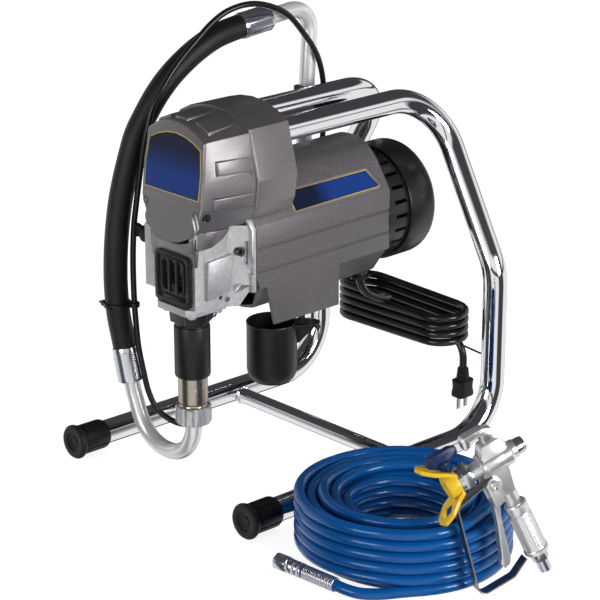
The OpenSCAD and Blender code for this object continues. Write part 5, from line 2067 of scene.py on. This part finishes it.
@dataclass
class Pump:
    """Pump column with its suction side.

    Attributes:
        y: distance of its axis from the front.
        suction_hose: middle line of the suction hose.
        drain_hose: middle line of the drain hose.
        tube: diameter of the suction tube.
        hose: diameter of the suction hose.
        drain: diameter of the drain hose.
        elbow: corners of the tube under the pump.
        upper: corners of the tube behind the hose.
    """

    y: float = 60
    tube: float = 19
    hose: float = 28.4
    drain: float = 7.0
    suction_hose: Route = (
        (-112.2, 58.5, 107), (-115.6, 58.2, 122), (-119, 57.8, 137), (-121, 55.5, 155), (-121.5, 52.5, 172),
        (-121.5, 50, 192), (-122, 49, 225), (-122, 51.5, 268), (-121, 57, 310), (-119, 62.5, 338),
        (-116.5, 69.5, 365), (-113, 78, 394), (-109, 90, 417), (-104, 104, 440), (-99, 121, 460),
        (-94, 149, 481), (-90, 181, 496), (-87.7, 216.4, 502.6), (-86.1, 232.2, 504.5), (-84.6, 247, 506.4))
    drain_hose: Route = (
        (-54, 96, 238), (-54, 96, 222), (-51, 97, 195), (-44, 98.5, 160), (-37, 100, 125), (-32, 100.5, 95),
        (-32, 99.5, 72), (-41, 96.5, 54), (-55, 91, 47.5), (-68, 82, 52), (-80, 72.5, 64.5), (-88, 67, 85),
        (-94.5, 64.5, 113), (-99, 62, 142), (-102.5, 62, 170), (-105, 62.5, 193), (-106.5, 63, 227),
        (-106.5, 63.5, 256), (-104, 64, 290), (-102, 66, 313), (-99.5, 69, 341), (-95, 75, 390),
        (-92, 79, 410), (-90, 84, 428), (-86.5, 98, 452), (-85, 117, 474), (-83, 144, 497), (-79, 166, 516),
        (-74, 187, 528), (-68, 215, 532.5), (-64, 244, 526), (-61, 268.5, 513), (-60, 291.5, 489),
        (-61.5, 315.5, 459), (-66, 330, 430), (-73, 340, 389), (-79, 343, 340), (-84, 341, 300),
        (-87.2, 332, 258), (-88, 324, 222), (-88, 324, 186))
    elbow: Route = ((0, 60, 83.8), (0, 60, 27), (-84, 60, 27), (-107, 59, 84), (-112, 58.5, 106))
    upper: Route = ((-84.5, 248, 506.5), (-77, 321.6, 515.6), (-77, 300, 196))

    def ferrule(self, end: Point, before: Point) -> Piece:
        """Crimped ferrule: long pressed flats between two plain ends.

        Args:
            end: end of the tube.
            before: a point of the tube before it.

        Returns:
            The ferrule.
        """
        way = (Vector(end) - Vector(before)).normalized()
        r = self.hose / 2 + 1.4
        piece = Bench.turned([(9.6, 0), (r - 2.4, 0), (r - 0.6, 0.8), (r, 2.2), (r, 40), (r - 0.5, 42), (r - 1.25, 42),
            (r - 1.25, 11), (9.6, 11)], steps=60)
        flat = Bench.block((r - 0.42, -6, 4.5), (r + 3, 6, 35))
        Bench.cut(piece, Bench.round_about(flat, 10))
        piece.data.transform(turned_frame(Vector(end) - way * 10, way))
        return piece

    def nut(self) -> Piece:
        """Scalloped jam nut.

        Returns:
            The nut.
        """
        nut = Bench.turned([(9.8, 0), (19.4, 0), (21, 1.6), (21, 19.8), (19.6, 21.5), (17.2, 21.5), (17.2, 3.3),
            (9.8, 3.3)], steps=60)
        flute = Bench.rod(4.4, -1, 29, (23.2, 0, 0), steps=20)
        Bench.cut(nut, Bench.round_about(flute, 10))
        nut.data.transform(Matrix.Translation((0, self.y, 77.5)))
        return Bench.bevel(nut, 0.5, 2, 40)

    def cup(self) -> Piece:
        """Drip cup with a rolled rim, and its lug with two holes, a gusset and the post.

        Returns:
            The cup.
        """
        cup = Bench.turned([(0, 0), (17, 0), (22.5, 1.6), (26.6, 6), (29, 11), (30, 17), (30, 73.6), (30.6, 74.4),
            (30.2, 75.4), (28.8, 75.4), (28.2, 74.6), (28, 17), (26.6, 11.6), (24, 7.6), (17, 2.6), (0, 2.6)],
            (0, 184, 94), steps=72)
        lug = Bench.slab(smooth_outline([(12, 213), (20, 198), (30, 190), (46, 214), (38, 227), (25, 226)], 4, 4), 165,
            169, Plane.XY)
        keep_out = Bench.rod(29, 0, 30, (0, 184, 155), steps=72)
        holes = [Bench.rod(r, 0, 20, (x, y, 158), steps=28) for x, y, r in ((38.2, 216.5, 3.6), (29.5, 203, 2.6))]
        Bench.cut(lug, keep_out, *holes)
        Bench.bevel(lug, 0.7, 2, 40)
        gusset = Form.loft([((20, 206, 165.2), (23, 208, 165.2), (38, 222, 165.2), (35, 222, 165.2)),
            ((17.5, 206.5, 140), (19, 208, 140), (20, 209, 140), (18, 208, 140))])
        post = Bench.from_node("drip_cup")
        Bench.choose(post, lambda c, n: c.z < 169.05)
        bpy.ops.mesh.delete(type="FACE")
        bpy.ops.mesh.select_all(action="SELECT")
        bpy.ops.mesh.fill_holes(sides=0)
        Bench.outwards(post)
        return Bench.join(cup, lug, gusset, post)

    def column(self) -> None:
        """Sleeve, cylinder, flange and nut."""
        sleeve = Bench.turned([(17.15, 135), (18.6, 135), (20.1, 136), (20.8, 138), (20.8, 195.6), (20.2, 197.2),
            (19.0, 198.0), (18.7, 198.8), (18.9, 199.6), (18.8, 201.6), (18.0, 202.5), (17.15, 202.5)], (0, self.y, 0),
            steps=64)
        Bench.present(sleeve, "pump_sleeve_black", PLASTIC, "pump_sleeve", angle=35)
        cylinder = Bench.turned([(12.5, 0), (17.1, 0), (17.1, 14.8), (16.4, 15.6), (16.1, 17.2), (16.4, 18.8),
            (17.1, 19.6), (17.1, 138.8), (12.5, 138.8)], (0, self.y, 84.2), steps=64)
        Bench.present(cylinder, "pump_cylinder_barrel", STAINLESS, "pump_cylinder", angle=35)
        Bench.present(self.nut(), "scalloped_nut", CAST, "jam_nut", angle=35)
        flange = Bench.from_node("pump_flange")
        for vertex in flange.data.vertices:
            if vertex.co.z < 218.8:
                vertex.co.x, vertex.co.y = vertex.co.x * 0.94, self.y + (vertex.co.y - self.y) * 0.94
        Bench.bevel(flange, 0.9, 2)
        bolts = [Bench.slab(hexagon(5.2, centre=place), 213.6, 219.2, Plane.XY, 0.5)
            for place in ((-21, 42), (21, 42), (24, 78))]
        Bench.join(flange, *bolts)
        Bench.paint(flange, BLACK_STEEL, lambda c, n: c.z < 218.9 and (c - Vector((0, self.y, c.z))).length < 24.5)
        Bench.present(flange, "pump_flange_plate", CAST, "pump_flange")

    def suction(self) -> None:
        """Elbow, ferrules, hoses, upper tube and strainer."""
        elbow = Bench.pipe(bent(self.elbow, [46, 50, 60], 4), self.tube / 2, 36)
        collar = Bench.turned([(9.5, 80.9), (13.4, 80.9), (14, 81.4), (14, 83.4), (13.4, 83.8), (9.5, 83.8)],
            (0, self.y, 0), steps=40)
        Bench.present(Bench.join(elbow, collar), "suction_elbow_tube", SATIN, "suction_elbow", angle=50)
        ferrules = Bench.join(self.ferrule(self.elbow[4], self.elbow[3]), self.ferrule(self.upper[0], self.upper[1]))
        Bench.present(ferrules, "crimped_ferrules", ZINC, "hose_ferrules", angle=35)
        for line, radius, sides, name, finish, node, angle in (
                (flowing(self.suction_hose, 5), self.hose / 2, 36, "suction_hose_jacket", SUCTION_JACKET,
                "suction_hose", 60),
                (flowing(self.drain_hose, 5), self.drain / 2, 18, "drain_hose_tube", THIN_HOSE, "drain_hose", 60),
                (bent(self.upper, [26], 4), self.tube / 2, 36, "suction_tube_upper", SATIN, "suction_tube", 50)):
            Bench.present(Bench.pipe(line, radius, sides), name, finish, node, angle=angle)
        Bench.soften("strainer", "inlet_strainer", PLASTIC, 0.5)

    def fluid(self) -> None:
        """Manifold, fittings, lever, ties and cup."""
        Bench.soften("fluid_manifold", "manifold_block", CAST, 1.2, 3)
        Bench.soften("outlet_fittings", "fluid_fittings", ZINC, 0.4, 2, 40)
        lever = Bench.turned([(0, 0), (10.2, 0), (11, 0.8), (11, 7), (10, 8), (0, 8)], (-72.4, 62, 287), (-1, 0, 0), 40)
        handle = Form.loft([[Vector((x, 62 + a, 287 + b)) for a, b in rounded(w, h, 1.8, steps=3)]
            for x, w, h in ((-79.5, 7, 11), (-86, 5.6, 12), (-92, 6, 15), (-96.8, 7.4, 16), (-98, 6, 14.6))])
        Bench.present(Bench.join(lever, handle), "prime_valve_lever", PLASTIC, "prime_lever", body="prime_handle")
        Bench.present(self.ties(), "hose_ties", PLASTIC, "ties_and_clips")
        Bench.present(self.cup(), "drip_cup_body", PLASTIC, "drip_cup", angle=35)

    def ties(self) -> Piece:
        """Cable ties with their locking heads, clips and wire ties.

        Returns:
            The ties.
        """
        ties = Bench.from_node("ties_and_clips", bevel=0.3, angle=45)
        head = Bench.block((-137.2, 37.5, 189.2), (-131.5, 43.0, 195.6), 0.8)
        tail = Bench.bevel(Bench.block((-141.5, 38.6, 191.2), (-136.8, 39.9, 194.0)), 0.3, 1)
        return Bench.join(ties, head, tail)

    def build(self) -> None:
        """Makes the pump and the fluid side."""
        self.column()
        self.suction()
        self.fluid()


@dataclass
class Controls:
    """Control box, knob and switch."""

    def knob(self) -> Piece:
        """Fluted knob with a dished cap and a pointer ridge.

        Returns:
            The knob.
        """
        knob = Bench.turned([(0, 0), (14.6, 0), (15, 0.6), (15, 11), (13.6, 13.4), (11.6, 14), (10.8, 13.2),
            (0, 13.2)], steps=72)
        flute = Bench.rod(2.6, 3, 20, (16.4, 0, 0), steps=16)
        Bench.cut(knob, Bench.round_about(flute, 12))
        ridge = Bench.block((1.5, -1.3, 12.8), (10.4, 1.3, 13.95), 0.4)
        shaft = Bench.rod(4, -9.4, 0.5, steps=24)
        Bench.join(Bench.bevel(knob, 0.4, 2, 40), ridge, shaft)
        knob.data.transform(turned_frame((-82.4, 222, 272), (-1, 0, 0)))
        return knob

    def build(self) -> None:
        """Makes the controls."""
        Bench.soften("control_box", "control_housing", PLASTIC, 1.0, 3)
        Bench.present(self.knob(), "pressure_knob_fluted", PLASTIC, "pressure_knob", body="knob", angle=35)
        Bench.soften("power_switch", "rocker_switch", RED, 0.8, 3, body="rocker")


@dataclass
class Gun:
    """Spray gun, drawn in its own plane: X back from the muzzle, Z up, origin at the trigger's pivot.

    Attributes:
        barrel: height of the barrel.
        wing: half angle between the guard's wings.
        tip: distance of the tip from the pivot.
        strap_line: corners of the finger strap.
    """

    barrel: float = 20
    wing: float = 30
    tip: float = -38
    strap_line: Corners = ((1, 3), (-45, -5), (-64, -106), (-22, -106), (-2, -95))

    def body(self) -> Piece:
        """Cast body with slotted cheeks, the hook, the valve head, the barrel's rings and the pivot bolt.

        Returns:
            The body.
        """
        body = Bench.from_node("gun_body", place=GUN)
        hook = Bench.slab(smooth_outline([(-3, 13), (25, 13), (31, 33), (23, 56), (14, 61), (-9, 61), (-12, 57.5),
            (-12.5, 47.5), (-9.6, 46), (-6, 48.5), (-4, 53), (8.5, 54), (9.5, 36), (-3, 31)], 2.2, 3), -7, 7)
        Bench.bevel(hook, 1.6, 3, 40)
        cheek = Bench.slab([(-3, 14), (27, 14), (30, 30), (26, 44), (4, 44), (-3, 30)], -10.5, 10.5)
        Bench.bevel(cheek, 3.2, 2, 40)
        rings = [
            Bench.turned([(0, 0), (13.4, 0), (14.2, 0.8), (14.2, 4.2), (13.4, 5), (0, 5)], (-4.6, 0, self.barrel),
                (1, 0, 0), 48),
            Bench.turned([(0, 0), (13.2, 0), (13.2, 8), (11, 11), (0, 11)], (22, 0, self.barrel), (1, 0, 0), 48),
        ]
        slots = [Bench.block((-14, 9.2, -36), (26, 22, 6)), Bench.block((-14, -22, -36), (26, -9.2, 6))]
        Bench.bevel(Bench.cut(body, *slots), 0.7, 2, 45)
        bolt = Bench.turned([(0, -13), (2.9, -13), (2.9, 12.6), (5.6, 12.6), (5.9, 13), (5.9, 16.2), (5.3, 16.9),
            (3.4, 16.9), (3.2, 16.3), (3.2, 13.6), (0, 13.6)], (0, 0, 0), (0, -1, 0), 32)
        clip = Bench.rod(4.2, 12.5, 14, (0, 0, 0), (0, 1, 0), 24)
        return Bench.join(body, hook, cheek, *rings, bolt, clip)

    def grip(self) -> Piece:
        """Handle tube: smooth neck, ribbed barrel and rolled foot.

        Returns:
            The handle.
        """
        grip = Bench.turned([(5.1, 0), (12.8, 0), (13.5, 0.8), (13.5, 4.2), (12.6, 5.2), (12.3, 6.4), (12.3, 47),
            (11.6, 48.4), (11.4, 49.6), (12.0, 50.6), (12.4, 52), (12.4, 60.4), (11.4, 61.8), (6, 61.8), (6, 3),
            (5.1, 3)], steps=72)
        rib = Form.loft([[Vector((x, y, 7.2)) for x, y in ((12.0, -0.8), (12.6, -0.45), (12.6, 0.45), (12.0, 0.8))],
            [Vector((x, y, 46.4)) for x, y in ((12.0, -0.8), (12.6, -0.45), (12.6, 0.45), (12.0, 0.8))]])
        ribs = Bench.round_about(rib, 26)
        Bench.join(grip, ribs)
        grip.data.transform(turned_frame((13, 0, -96), (0, 0, 1)))
        return grip

    def strap(self) -> Piece:
        """Flat strap bent round the fingers, with rounded bends and a swell at its foot.

        Returns:
            The strap.
        """
        line = bent([Vector((x, 0, z)) for x, z in self.strap_line], [7, 8, 8], 12)
        width, thick = 7.4, 0.8
        rings = []
        for i, p in enumerate(line):
            ahead = (line[min(i + 1, len(line) - 1)] - line[max(i - 1, 0)]).normalized()
            side = Vector((-ahead.z, 0, ahead.x))
            rings.append([p + side * b + Vector((0, a, 0)) for a, b in rounded(2 * width, 2 * thick, 0.5, steps=2)])
        return Form.loft(rings)

    def guard(self) -> Piece:
        """Yellow tip guard: collar, and two wings with rounded ends and diamond openings.

        Returns:
            The guard.
        """
        ring = Bench.turned([(5, 0), (12.6, 0), (13.7, 0.5), (14, 1.4), (14, 12.4), (13.4, 13.9), (11.8, 15), (7, 15),
            (6, 13.8), (5, 13.6)], (-31.4, 0, self.barrel), (-1, 0, 0), 56)
        hole = Bench.rod(6.05, 0, 60, (self.tip, 0, -10), (0, 0, 1), 32)
        outline = smooth_outline([(1, -12.5), (1, 12.5), (-12, 11), (-27, 14.8), (-41, 9.5), (-44.5, 0), (-41, -9.5),
            (-27, -14.8), (-12, -11)], 6, 4)
        opening = smooth_outline([(-15.5, 0), (-27, 9.6), (-39, 0), (-27, -9.6)], 1.8, 3)
        wings = []
        for s in (1, -1):
            place = (Matrix.Translation((-36, 0, self.barrel)) @ Matrix.Rotation(radians(s * self.wing), 4, "Y")
                @ Matrix.Translation((0, 0, s * 10.5)) @ Matrix.Rotation(radians(s * 5.47), 4, "Y"))
            wing = Form.prism(outline, place, -2.0, 2.0)
            Bench.cut(wing, Form.prism(opening, place, -5, 5), Bench.copy(hole, Matrix()),
                Bench.block((-31.4, -20, -10), (0, 20, 50)))
            wings.append(Bench.bevel(wing, 0.9, 3, 40))
        Bench.cut(ring, hole)
        return Bench.join(Bench.bevel(ring, 0.5, 2, 40), *wings)

    def build(self) -> None:
        """Makes the gun."""
        Bench.present(self.body(), "gun_body_casting", GUN_METAL, "gun_body", place=GUN, angle=35)
        Bench.present(self.grip(), "gun_handle", GUN_METAL, "gun_grip", place=GUN, angle=30)
        Bench.present(self.strap(), "trigger_guard_strap", STRAP, "gun_strap", place=GUN, angle=35)
        Bench.soften("gun_trigger", "trigger_blade", GUN_METAL, 0.9, 3, 30, "trigger", GUN)
        knob = Bench.turned([(0, 0), (8.2, 0), (8.8, 0.7), (8.8, 9.4), (7.6, 11), (0, 11)], (36.2, 0, self.barrel),
            (1, 0, 0), 40)
        needle = Bench.join(Bench.from_node("gun_needle", place=GUN, bevel=0.8), knob)
        Bench.present(needle, "needle_cap", ZINC, "gun_needle", body="needle", place=GUN)
        for row in (("gun_swivel", "inlet_swivel", ZINC, 0.5, 2, 35, "swivel"), ("tip_nut", "retaining_nut", ZINC, 0.5),
                ("tip_handle", "tip_key", NAVY, 0.8, 2, 35, "tip")):
            Bench.soften(*row, place=GUN)
        Bench.present(self.guard(), "yellow_tip_guard", YELLOW, "tip_guard", place=GUN)


class Carried:
    """CAD nodes inside the sprayer that are kept as they are, each with its finish."""

    FINISHES: dict[Finish, tuple[str, ...]] = {
        BLACK_STEEL: ("motor_can",),
        CAST: ("motor_bells",),
        COPPER: ("armature",),
        PLASTIC: ("cooling_fan",),
        STEEL: ("bearings", "idler_gear", "crank_gear", "connecting_rod", "outlet_ball", "intake_ball", "intake_valve"),
        CHROME: ("pump_rod",),
        PACKING: ("pump_packings",),
    }

    def build(self) -> None:
        """Gives the nodes their finishes."""
        for finish, names in self.FINISHES.items():
            for name in names:
                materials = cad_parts[name].data.materials
                materials.clear()
                materials.append(finish.material())
                LOG.info("%-22s carried over with %s", name, finish.slot)


def main() -> None:
    """Builds the studio, the cords and every sub-assembly."""
    logging.basicConfig(level=logging.INFO, format="%(message)s")
    Studio().build()
    MainsCord().build()
    SprayHose().build()
    for part in (Stand(), Cover(), Motor(), Housing(), Pump(), Controls(), Gun()):
        part.build()
    Carried().build()


if __name__ == "__main__":
    main()
